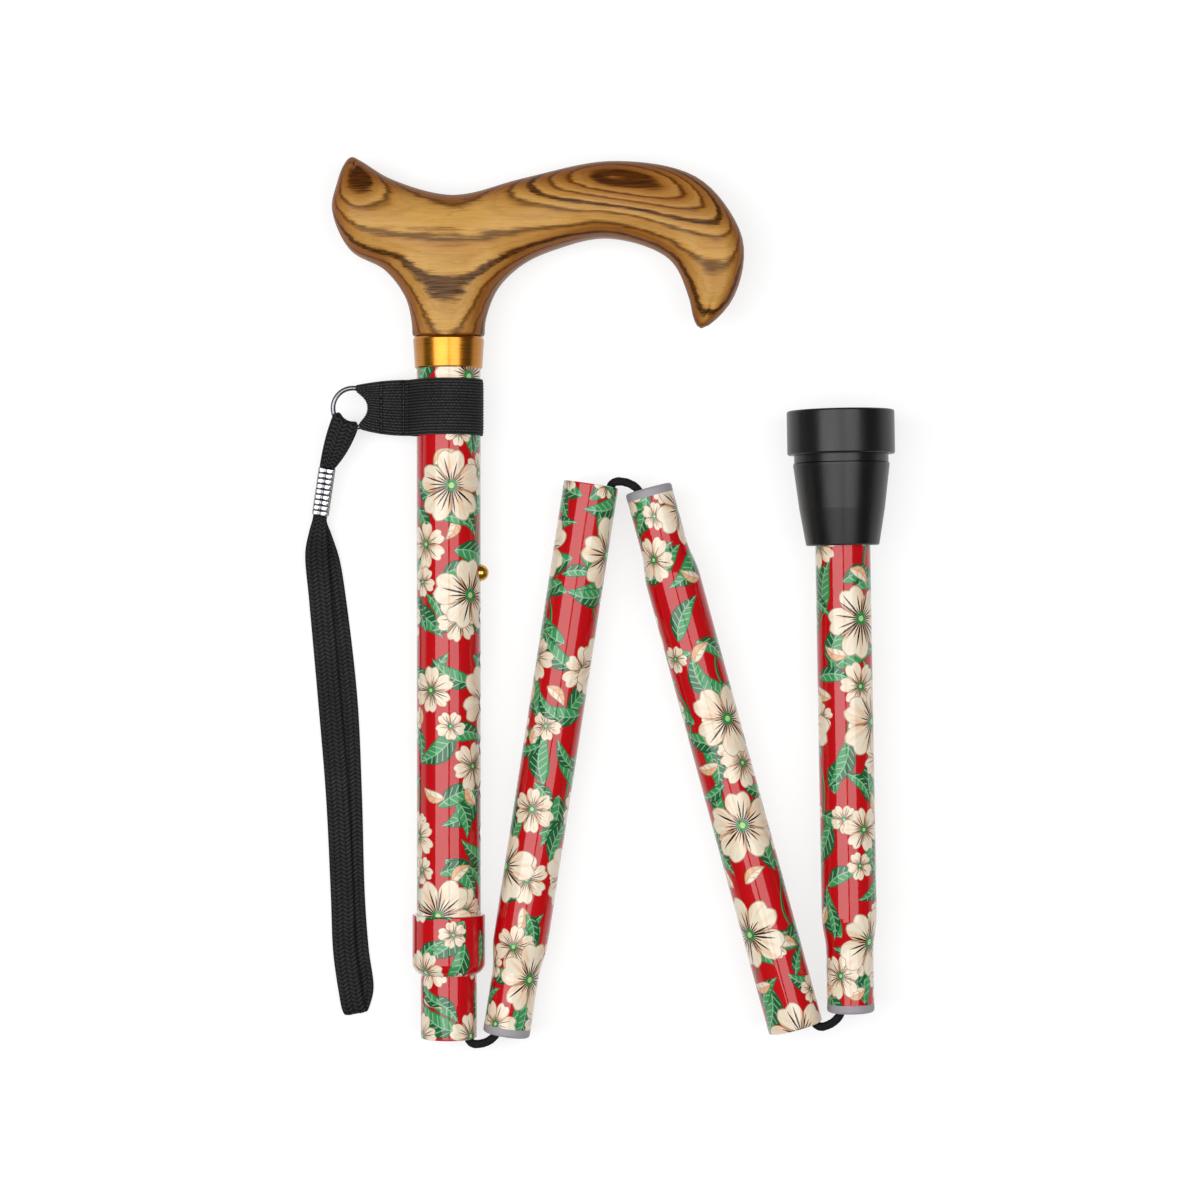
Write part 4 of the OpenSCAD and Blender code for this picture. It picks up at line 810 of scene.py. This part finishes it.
class CANE_OT_wrist_loop(bpy.types.Operator):
    """Plaits the wrist loop, the lace eye over the ring and the pressed crimp between them"""
    bl_idname = "cane.wrist_loop"
    bl_label = "Wrist loop"

    def execute(self, context):
        scene = context.scene
        pitch = scene.cane_sizes.braid_pitch / MM
        lace = woven_nylon("plaited_lace", scene.cane_colours.lace, 0.35)
        turn = math.degrees(math.atan2(CRIMP_ALONG[0], -CRIMP_ALONG[1]))
        ends = [[*(CRIMP_FOOT + out * CRIMP_ALONG + lift * CRIMP_UP - TABLE_SHIFT), turn, STRAND_SHARE]
                for lift in (STRAND_LIFT, -STRAND_LIFT) for out in (STRAND_GAP, LACE_THICK)]
        route = [*ends[:2], *LOOP_ROUTE, ends[3], ends[2]]
        line, s = even(curve(route, 24), 860)
        place = line[:, :3] + TABLE_SHIFT
        a = np.radians(line[:, 3])
        across = np.stack([np.cos(a), np.sin(a), np.zeros(len(a))], 1)
        v = np.linspace(-0.5, 0.5, 29)
        mid = place[:, None] + across[:, None] * (v[None, :, None] * LACE_WIDTH * line[:, 4, None, None])
        relief = plait(s[:, None], v[None], pitch, LACE_WIDTH)
        loop = strap("wrist_loop_lace", lace, mid, (s, v * LACE_WIDTH), LACE_THICK,
                     relief, relief.max(), 10)
        settle(loop, "wrist_strap", "nylon_lace", "wrist_loop")
        eye = self.eye(lace, pitch)
        crimp = self.crimp()
        return {"FINISHED"}

    @staticmethod
    def eye(lace, pitch):
        """Lace folded over the ring: both layers fan out from the crimp to the wire, which it rounds in a
        half circle that follows the ring's arc.

        A layer's middle line is straight. Across it, the share of the wire's arc grows from the crimp on
        as 1 - (1 - t)^2.5, and a half sine of t lifts the layer into a belly."""
        v = np.linspace(-0.5, 0.5, 41)
        middle = len(v) // 2
        angle = np.radians(EYE_FROM + (v + 0.5) * EYE_SWEEP)
        spoke = np.stack([np.cos(angle), np.sin(angle), 0 * v], 1)
        wire = RING_AT + RING_R * spoke
        z = np.array([0, 0, 1.0])
        bend = WIRE_R + WIRE_GAP + 0.45 * LACE_THICK
        mouth = CRIMP_TOP - 0.1 * CRIMP_ALONG + CRIMP_ACROSS * (v * (CRIMP_WIDTH - 0.6))[:, None]
        t = np.linspace(0, 1, 36)[:, None, None]
        spread = 1 - (1 - t) ** 2.5
        runs = []
        for side in (1, -1):
            near = mouth + side * 0.5 * LACE_THICK * CRIMP_UP
            far = wire + side * bend * z
            a, b = near[middle], far[middle]
            run = a * (1 - t) + b * t + (near - a) * (1 - spread) + (far - b) * spread
            runs.append(run + EYE_BELLY * side * np.sin(np.pi * t) * z)
        turn = np.linspace(np.pi / 2, 3 * np.pi / 2, 18)[1:-1, None, None]
        fold = wire[None] + bend * (np.cos(turn) * spoke[None] + np.sin(turn) * z)
        mid = np.concatenate([runs[0], fold, runs[1][::-1]])
        steps = lengths(mid[:, middle])
        s = np.linspace(0, steps[-1], int(steps[-1] / EYE_STEP) + 1)
        relief = plait(s[:, None], v[None], pitch, EYE_WIDTH)
        piece = strap("lace_eye", lace, at_lengths(mid, steps, s), (s, v * EYE_WIDTH), LACE_THICK * 0.9,
                      relief, relief.max(), 12)
        settle(piece, "wrist_strap", "nylon_lace", "strap_eye")
        return piece

    @staticmethod
    def crimp():
        """Crimp: a rounded bar on whose two faces nine rows of two pillows stand.

        The bar's section is a superellipse, and a pillow rises smoothly with the lesser of two
        sines to a flat top."""
        cols = 96
        s = np.linspace(0, CRIMP_LENGTH, 14 * CRIMP_ROWS + 1)[:, None]
        a = 2 * np.pi * np.arange(cols)[None] / cols
        x = np.sign(np.cos(a)) * np.abs(np.cos(a)) ** 0.42
        y = np.sign(np.sin(a)) * np.abs(np.sin(a)) ** 0.42
        wave = np.abs(np.sin(np.pi * s * CRIMP_ROWS / CRIMP_LENGTH))
        rise = np.clip(1.7 * np.minimum(np.abs(np.sin(np.pi * x)), wave), 0, 1)
        pillow = rise * rise * (3 - 2 * rise)
        end = np.clip(np.minimum(s, CRIMP_LENGTH - s) / 0.5, 0, 1)
        end = 0.86 + 0.14 * np.sqrt(1 - (1 - end) ** 2)
        wide = CRIMP_WIDTH / 2 * x * (0.965 + 0.035 * wave ** 0.4)
        high = y * (CRIMP_THICK / 2 - 0.4 + 0.4 * pillow * np.abs(y))
        points = (CRIMP_TOP + s[..., None] * CRIMP_ALONG + (wide * end)[..., None] * CRIMP_ACROSS
                  + (high * end)[..., None] * CRIMP_UP)
        # The depth between the pillows lets the chrome paint shade in the valleys
        piece = grid_piece(
            "pressed_crimp", points, chrome_plate(), round_v=True, caps=True, depth=1 - pillow)
        settle(piece, "wrist_strap", "crimp_chrome", "strap_crimp")
        return piece


# Webbing: thickness, half of it at the fold, its middle's distance off the tube and off the other layer
WEB_THICK = 1.05
WEB_HALF = 0.5
WEB_OFF = 0.62
# Spacing of the weft, where the two layers meet beside the tube, and the rows of stitches across them
WEFT_PITCH = 1.25
SEAM_X = -14.0
STITCH_ROWS = (-15.6, -23.4)
THREAD_R = 0.22
# Angle on the ring where the webbing starts, and angle that it covers
TAIL_FROM = -68
TAIL_SWEEP = 148


class CANE_OT_webbing(bpy.types.Operator):
    """Weaves the webbing band round the shaft and the ring, with its sewn seam"""
    bl_idname = "cane.webbing"
    bl_label = "Webbing band"

    def execute(self, context):
        scene = context.scene
        pitch = scene.cane_sizes.rib_pitch / MM
        nylon = woven_nylon("ribbed_webbing", scene.cane_colours.webbing, 0.4)
        v = np.linspace(-0.5, 0.5, 131)
        mid, s, x = self.middle(v)
        w = v * BAND_WIDTH
        # Ribs run along the webbing, and the weft crosses them. Real ribs are 0.75 mm apart,
        # and are drawn coarser so that they show.
        rib = np.abs(np.sin(np.pi * w / pitch))[None] ** 2.6
        weft = 0.5 + 0.5 * np.cos(2 * np.pi * (s[:, None] / WEFT_PITCH + 0.5 * np.floor(w / pitch)[None]))
        relief = 0.24 * (1 - rib) + 0.1 * weft
        for row in STITCH_ROWS:
            relief = relief + 0.16 * np.exp(-((x - row) / 0.55) ** 2)
        piece = strap("webbing_band", nylon, mid, (s, w), WEB_THICK, relief, 0.32, 25, closed=True)
        settle(piece, "upper_shaft", "nylon_webbing", "strap_band")
        self.stitches(nylon, scene.cane_sizes.stitch / MM)
        return {"FINISHED"}

    @staticmethod
    def middle(v):
        """Closed middle line of the webbing at each place across it.

        From the seam it goes round the tube, back to the seam, along the rear tail, round the
        ring's wire in a half circle, and along the front tail to the seam again. Along a tail, the
        share of the wire's arc grows as t^2.2, and the outermost threads at the wire stand 1 mm wider."""
        r = TUBE_R + WEB_OFF
        leave = math.acos(-r / SEAM_X)
        arc = np.linspace(np.pi - leave, -np.pi + leave, 110)
        ring = np.stack([r * np.cos(arc), r * np.sin(arc)], 1)
        start = np.array([[SEAM_X, WEB_OFF]])
        run = start + (ring[0] - start) * np.linspace(0, 1, 22)[:-1, None] ** 1.25
        loop = np.vstack([run, ring, run[::-1] * [1, -1]])
        across = BAND_Y + v * BAND_WIDTH
        round_shaft = np.stack(np.broadcast_arrays(loop[:, None, 0], across[None, :], loop[:, None, 1]), -1)
        turn = np.radians(TAIL_FROM + (v + 0.5) * TAIL_SWEEP)
        spoke = np.stack([np.cos(turn), np.sin(turn)], 1)
        wire = np.array([RING_X, BAND_Y]) + RING_R * spoke
        wire[:, 1] += np.sign(v) * np.abs(2 * v) ** 6
        bend = WIRE_R + WIRE_GAP + WEB_HALF
        half = np.linspace(-np.pi / 2, -3 * np.pi / 2, 20)[:, None]
        reach = bend * np.cos(half)
        fold = np.stack(np.broadcast_arrays(
            wire[:, 0] + reach * spoke[:, 0], wire[:, 1] + reach * spoke[:, 1], bend * np.sin(half)), -1)
        t = np.linspace(0, 1, 46)[1:-1, None]
        lift = WEB_OFF + (bend - WEB_OFF) * np.clip((t - 0.62) / 0.38, 0, 1) ** 2
        tail_x = SEAM_X + (wire[None, :, 0] - SEAM_X) * t
        tail_y = across[None] + (wire[None, :, 1] - across[None]) * t ** 2.2
        rear = np.stack(np.broadcast_arrays(tail_x, tail_y, -lift), -1)
        front = (rear * [1, 1, -1])[::-1]
        line = np.concatenate([round_shaft, rear, fold, front, round_shaft[:1]])
        steps = lengths(line[:, len(v) // 2])
        s = np.linspace(0, steps[-1], 331)[:-1]
        line = at_lengths(line, steps, s)
        return laid(line), s, line[..., 0]

    @staticmethod
    def stitches(thread, size):
        """Rows of sewn thread on both faces: each goes up and down in a cosine, a stitch long, and sinks
        into the webbing between stitches."""
        y = np.linspace(-0.43, 0.43, 121) * BAND_WIDTH
        wave = 0.86 + 0.34 * np.cos(2 * np.pi * y / size)
        for face, side in ((1, "front"), (-1, "rear")):
            for k, x in enumerate(STITCH_ROWS):
                line = laid(np.stack([x + 0 * y, BAND_Y + y, face * wave], 1))
                name = f"webbing_stitches_{side}_{k + 1}"
                piece = rope(name, thread, line, THREAD_R, 1.0, deep=0.0, around=8)
                settle(piece, "upper_shaft", "nylon_webbing")


# Elastic cord: heading of each section from up the shaft towards the right, and the hand of each fold
HEADS = np.radians([180.0, 8.8, 164.7, -1.0])
HANDS = (-1, 1, -1)
CORD_R = 1.5
KNOT_R = 3.59
BRAID_PITCH = 5.5
PIVOTS = [1000 * np.array(JOINTS[name]["pos_m"]) for name in ("fold_upper", "fold_middle", "fold_lower")]
# Distance from the pivot at which the cord lies in the socket and in the guide bush
SOCKET_HUG = (3.1625, 3.05, 3.05)
BUSH_HUG = (6.4875, 6.375, 6.375)
FOLD_BODIES = (("adjust_tube", "cord_link_1"), ("section_2", "cord_link_2"), ("section_3", "cord_link_3"))


def heading(angle):
    """Directions of the row frame across and along a section that heads at an angle from up the shaft."""
    return (math.cos(angle) * RIGHT - math.sin(angle) * UP, math.sin(angle) * RIGHT + math.cos(angle) * UP)


class CANE_OT_elastic(bpy.types.Operator):
    """Braids the elastic cord: the arches at the folds and the runs inside the tubes"""
    bl_idname = "cane.elastic"
    bl_label = "Elastic cord"

    def execute(self, context):
        cover = woven_nylon("braided_elastic", context.scene.cane_colours.elastic, 0.4)
        for k, (a, b) in enumerate(FOLD_BODIES):
            line = self.arch(k)
            piece = rope(f"elastic_arch_{k + 1}", cover, even(curve(line, 12), 90)[0], CORD_R, BRAID_PITCH)
            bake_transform(piece)
            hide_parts(f"cord_link_{k + 1}")
        for k, body in enumerate(("adjust_tube", "section_2", "section_3", "section_4")):
            self.run(k, body, cover)
        return {"FINISHED"}

    @staticmethod
    def arch(k):
        """Eight points from inside the socket, over both rims, into the guide bush, each at a distance
        aside from the fold's pivot and out along its section."""
        a, b = SOCKET_HUG[k], BUSH_HUG[k]

        def spot(angle, away, out):
            aside, outward = heading(angle)
            return PIVOTS[k] - HANDS[k] * aside * away + outward * out
        socket = [spot(HEADS[k], away, out - 0.3) for away, out in (
            (a, -6), (a, -0.6), (a - 0.75, CORD_R - 0.2), (1, CORD_R + 0.7))]
        spigot = [spot(HEADS[k + 1], away, 3 - out) for away, out in (
            (b - 3.2, CORD_R + 2.3), (b - 0.7, CORD_R - 0.1), (b, -0.6), (b, -6))]
        return np.array(socket + spigot)

    @staticmethod
    def run(k, body, cover):
        """Straight run along the CAD run's own axis, swelling to a knot where that has one."""
        p = node_points(f"elastic_{k + 1}")
        slim = p - (p.min(0) + p.max(0)) / 2
        along = np.linalg.svd(slim, full_matrices=False)[2][0]
        t = p @ along
        ends = [p[np.abs(t - end) < 0.3].mean(0) for end in (t.min(), t.max())]
        far = p[np.argmax(np.linalg.norm(np.cross(p - ends[0], unit(ends[1] - ends[0])), axis=1))]
        if np.linalg.norm(far - ends[0]) < np.linalg.norm(far - ends[1]):
            ends.reverse()
        whole = np.linalg.norm(ends[1] - ends[0])
        s = np.linspace(0, whole, 1 + int(whole / 0.6))
        line = ends[0] + (ends[1] - ends[0]) * (s / whole)[:, None]
        radius = np.full(len(s), CORD_R)
        if k in (0, 3):
            swell = KNOT_R ** 2 - (s - (whole - KNOT_R)) ** 2
            radius = np.maximum(np.where(s > whole - KNOT_R, 0.4, CORD_R), np.sqrt(np.maximum(swell, 0)))
        piece = rope(f"elastic_run_{k + 1}", cover, line, radius, BRAID_PITCH, around=16)
        settle(piece, body, "elastic_cord", f"elastic_{k + 1}")


# Hard pieces that keep their CAD shape
def chrome_plate():
    """Chrome-plated steel: bright with faint rubbing marks, 6 mm apart, and painted near black as shade in
    its pressed valleys.
    """
    material, n, finish = new_material("chrome_plate")
    rub = n("TexNoise", {"Vector": n("TexCoord", out=3), "Scale": 170.0, "Detail": 4.0, "Roughness": 0.6})
    tint = n("Mix", {0: rub, 6: linear("#B9BBBF"), 7: linear("#DDDFE2")}, **MIX_COLOURS)
    # Painted shade: the pressed valleys, by the depth attribute, are painted near black
    deep = n("Attribute", attribute_name="depth", out=2)
    tint = n("Mix", {0: deep, 6: tint, 7: linear("#1B1C1E")}, **MIX_COLOURS)
    finish({"Base Color": tint, "Roughness": n("MULTIPLY_ADD", [rub, 0.16, 0.06]), "Metallic": 1.0})
    return material


def worked_metal(name, pale, dark, rough, axis, centre, pitch, coat=0.0):
    """Turned or drawn metal: fine rings across its axis, a pitch apart, and slow changes of tone."""
    material, n, finish = new_material(name)
    at = turned_to(n, frame_on(axis), centre)
    rings = n("Mapping", {"Vector": at, "Scale": (0.05, 0.05, 1 / pitch)})
    rings = n("TexNoise", {"Vector": rings, "Scale": 1.0, "Detail": 2.0})
    cloud = n("TexNoise", {"Vector": at, "Scale": 0.12, "Detail": 2.0})
    tone = n("MULTIPLY_ADD", [n("SUBTRACT", [rings, 0.5]), 0.9, cloud], use_clamp=True)
    finish({
        "Base Color": n("Mix", {0: tone, 6: dark, 7: pale}, **MIX_COLOURS), "Metallic": 1.0,
        "Roughness": n("MULTIPLY_ADD", [rings, 0.2, rough]), "Coat Weight": coat, "Coat Roughness": 0.08,
        "Normal": n("Bump", {"Strength": 0.03, "Distance": 0.0001, "Height": rings})})
    return material


def moulded(name, base, rough, grain, wear, stretch=1.0):
    """Moulded plastic or rubber: fine grain, soft mottling, stretched up the piece, and pale rubbed
    patches."""
    material, n, finish = new_material(name)
    at = n("TexCoord", out=3)
    fine = n("TexNoise", {"Vector": at, "Scale": 1000 / grain, "Detail": 3.0})
    mottle = n("Mapping", {"Vector": at, "Scale": (1, 1 / stretch, 1)})
    mottle = n("TexNoise", {
        "Vector": mottle, "Scale": 75.0 * stretch ** 0.5, "Detail": 4.0, "Roughness": 0.6})
    tone = n("MULTIPLY", [n("SUBTRACT", [mottle, 0.42]), 2.6], use_clamp=True)
    tone = n("MULTIPLY", [tone, 0.5])
    finish({
        "Base Color": n("Mix", {0: tone, 6: base, 7: wear}, **MIX_COLOURS), "Specular IOR Level": 0.4,
        "Roughness": n("MULTIPLY_ADD", [mottle, 0.22, rough - 0.1]),
        "Normal": n("Bump", {"Strength": 0.12, "Distance": 0.0002, "Height": fine})})
    return material


class CANE_OT_fittings(bpy.types.Operator):
    """Gives the collar, ring, button, bushes, tip and hidden fittings their finishes"""
    bl_idname = "cane.fittings"
    bl_label = "Fittings"

    def execute(self, context):
        c = context.scene.cane_colours
        gold = worked_metal("gold_anodised", c.gold, linear("#A46212"), 0.2, UP, SHAFT, 0.5, 0.35)
        nickel = worked_metal("nickel_wire", linear("#8F9195"), linear("#55575B"), 0.12, OUT, RING_AT, 1.2)
        brass = worked_metal("brass_button", linear("#E0B356"), linear("#A87622"), 0.14, RIGHT, SHAFT, 1.0)
        steel = worked_metal("zinc_steel", linear("#C3C7CC"), linear("#8E949B"), 0.3, UP, SHAFT, 0.8)
        spring = worked_metal("spring_steel", linear("#9FA4AA"), linear("#6D7278"), 0.25, UP, SHAFT, 0.8)
        grey = moulded("grey_nylon", c.grey, 0.5, 0.8, linear("#ADAAAF"))
        black = moulded("black_nylon", linear("#202022"), 0.45, 0.8, linear("#343437"))
        rubber = moulded("moulded_rubber", c.rubber, 0.32, 0.9, linear("#171718"), 6.0)
        finishes = {
            gold: ["collar"], nickel: ["strap_ring"], brass: ["lock_button"],
            steel: ["handle_stud", "stud_nut", "tip_washer"], spring: ["button_spring"],
            grey: [*(f"guide_bush_{k}" for k in (2, 3, 4)), "glide_bush", "upper_anchor", "lower_anchor"],
            black: ["top_plug", "clamp_collet"], rubber: ["rubber_tip"]}
        for material, names in finishes.items():
            for name in names:
                dress(name, material)
        self.spring()
        return {"FINISHED"}

    @staticmethod
    def spring():
        """The leaf spring behind the button gets a mesh of its own; it is not moved by the button's travel.
        """
        across = node_points("button_spring") @ RIGHT
        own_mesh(NODES["button_spring"])


# Stage, in metres: the camera's middle, the width that it sees and its height above the cane's plane
VIEW_AT = (-4.0 * MM, 0.5 * MM)
VIEW_WIDTH = 0.416
VIEW_DISTANCE = 1.05
PLANE_HEIGHT = 0.0135
# Strip lamps: from and to which angle off the vertical they stand, in degrees, and their power
LAMPS = (("left_box", -47, -1.5, 10.9), ("right_box", 4, 37, 6.1))
LAMP_HEIGHT = 1.1
LAMP_LENGTH = 0.66
WHITE = (1, 1, 1, 1)
# Strength of the room as a light, and the height on the sky's sphere below which gloss sees it white
ROOM_LIGHT = 0.12
WHITE_BELOW = 0.12
# The table as the camera sees it: a matt grey that takes the shadow, plus an even glow
TABLE_MATT = (0.34, 0.34, 0.34, 1)
TABLE_GLOW = 0.72
TABLE_HALF = 4.0


class CANE_OT_stage(bpy.types.Operator):
    """Sets the camera straight above, two strip softboxes, a pale world and the white floor"""
    bl_idname = "cane.stage"
    bl_label = "Stage"

    def execute(self, context):
        scene = context.scene
        scene.view_settings.view_transform = "Standard"
        eye = bpy.data.cameras.new("camera")
        eye.lens = eye.sensor_width * VIEW_DISTANCE / VIEW_WIDTH
        eye.clip_end = 20
        camera = bpy.data.objects.new("camera", eye)
        camera.location = (*VIEW_AT, VIEW_DISTANCE + PLANE_HEIGHT)
        scene.collection.objects.link(camera)
        scene.camera = camera
        for name, left, right, power in LAMPS:
            a, b = (LAMP_HEIGHT * math.tan(math.radians(x)) for x in (left, right))
            box = bpy.data.lights.new(name, "AREA")
            box.shape = "RECTANGLE"
            box.size = b - a
            box.size_y = LAMP_LENGTH
            box.energy = power
            lamp = bpy.data.objects.new(name, box)
            lamp.location = ((a + b) / 2 + VIEW_AT[0], 0, LAMP_HEIGHT)
            lamp.visible_camera = False
            scene.collection.objects.link(lamp)
        self.world(scene)
        self.floor()
        return {"FINISHED"}

    @staticmethod
    def world(scene):
        """Pale room: white to the camera and in low reflections, dim as a light."""
        world = scene.world or bpy.data.worlds.new("room")
        scene.world = world
        world.use_nodes = True
        tree = world.node_tree
        n = partial(add, tree)
        path = n("LightPath").node
        seen = n("MAXIMUM", [path.outputs["Is Camera Ray"], path.outputs["Is Transmission Ray"]])
        height = n("SeparateXYZ", [n("TexCoord", out=0)], out=2)
        gloss = n("MULTIPLY", [n("SUBTRACT", [WHITE_BELOW, height]), 8.0], use_clamp=True)
        gloss = n("MULTIPLY", [gloss, path.outputs["Is Glossy Ray"]])
        level = n("MAXIMUM", [seen, n("MAXIMUM", [gloss, ROOM_LIGHT])])
        fill(tree, tree.nodes["Background"], {"Color": WHITE, "Strength": level})

    @staticmethod
    def floor():
        """White table: lifted to white for camera, gloss and transmission, and still taking the shadow."""
        material, n, finish = new_material("white_table")
        finish({"Base Color": linear("#F2F2F2"), "Roughness": 0.9})
        path = n("LightPath").node
        seen = n("MAXIMUM", [path.outputs["Is Camera Ray"], path.outputs["Is Glossy Ray"]])
        seen = n("MAXIMUM", [seen, path.outputs["Is Transmission Ray"]])
        matt = n("BsdfDiffuse", {"Color": TABLE_MATT})
        glow = n("Emission", {"Color": WHITE, "Strength": TABLE_GLOW})
        tree = material.node_tree
        plain = tree.nodes["Principled BSDF"].outputs[0]
        both = n("MixShader", [seen, plain, n("AddShader", [matt, glow])])
        fill(tree, tree.nodes["Material Output"], {"Surface": both})
        x, y = np.meshgrid(*[np.array([-TABLE_HALF, TABLE_HALF]) / MM] * 2)
        grid_piece("table", np.stack([x, y, 0 * x], -1), material)


class CANE_PT_panel(bpy.types.Panel):
    """Lists the steps of the cane's looks and the values behind them"""
    bl_idname = "CANE_PT_panel"
    bl_label = "Folding cane"
    bl_space_type = "VIEW_3D"
    bl_region_type = "UI"
    bl_category = "Cane"

    def draw(self, context):
        for step in STEPS:
            self.layout.operator(step.bl_idname)
        for group in (context.scene.cane_sizes, context.scene.cane_colours):
            for name in group.bl_rna.properties.keys():
                if name not in ("rna_type", "name"):
                    self.layout.prop(group, name)


STEPS = (
    CANE_OT_stage, CANE_OT_wrist_loop, CANE_OT_webbing, CANE_OT_handle, CANE_OT_elastic, CANE_OT_tubes,
    CANE_OT_fittings)
CLASSES = (CaneSizes, CaneColours, *STEPS, CANE_PT_panel)


def register():
    """Adds the classes and the scene's settings."""
    for item in CLASSES:
        bpy.utils.register_class(item)
    bpy.types.Scene.cane_sizes = PointerProperty(type=CaneSizes)
    bpy.types.Scene.cane_colours = PointerProperty(type=CaneColours)


def unregister():
    """Takes them out again."""
    del bpy.types.Scene.cane_colours
    del bpy.types.Scene.cane_sizes
    for item in reversed(CLASSES):
        bpy.utils.unregister_class(item)


def main():
    """Runs every step in order."""
    register()
    for step in STEPS:
        group, name = step.bl_idname.split(".")
        getattr(getattr(bpy.ops, group), name)()


if __name__ == "__main__":
    main()
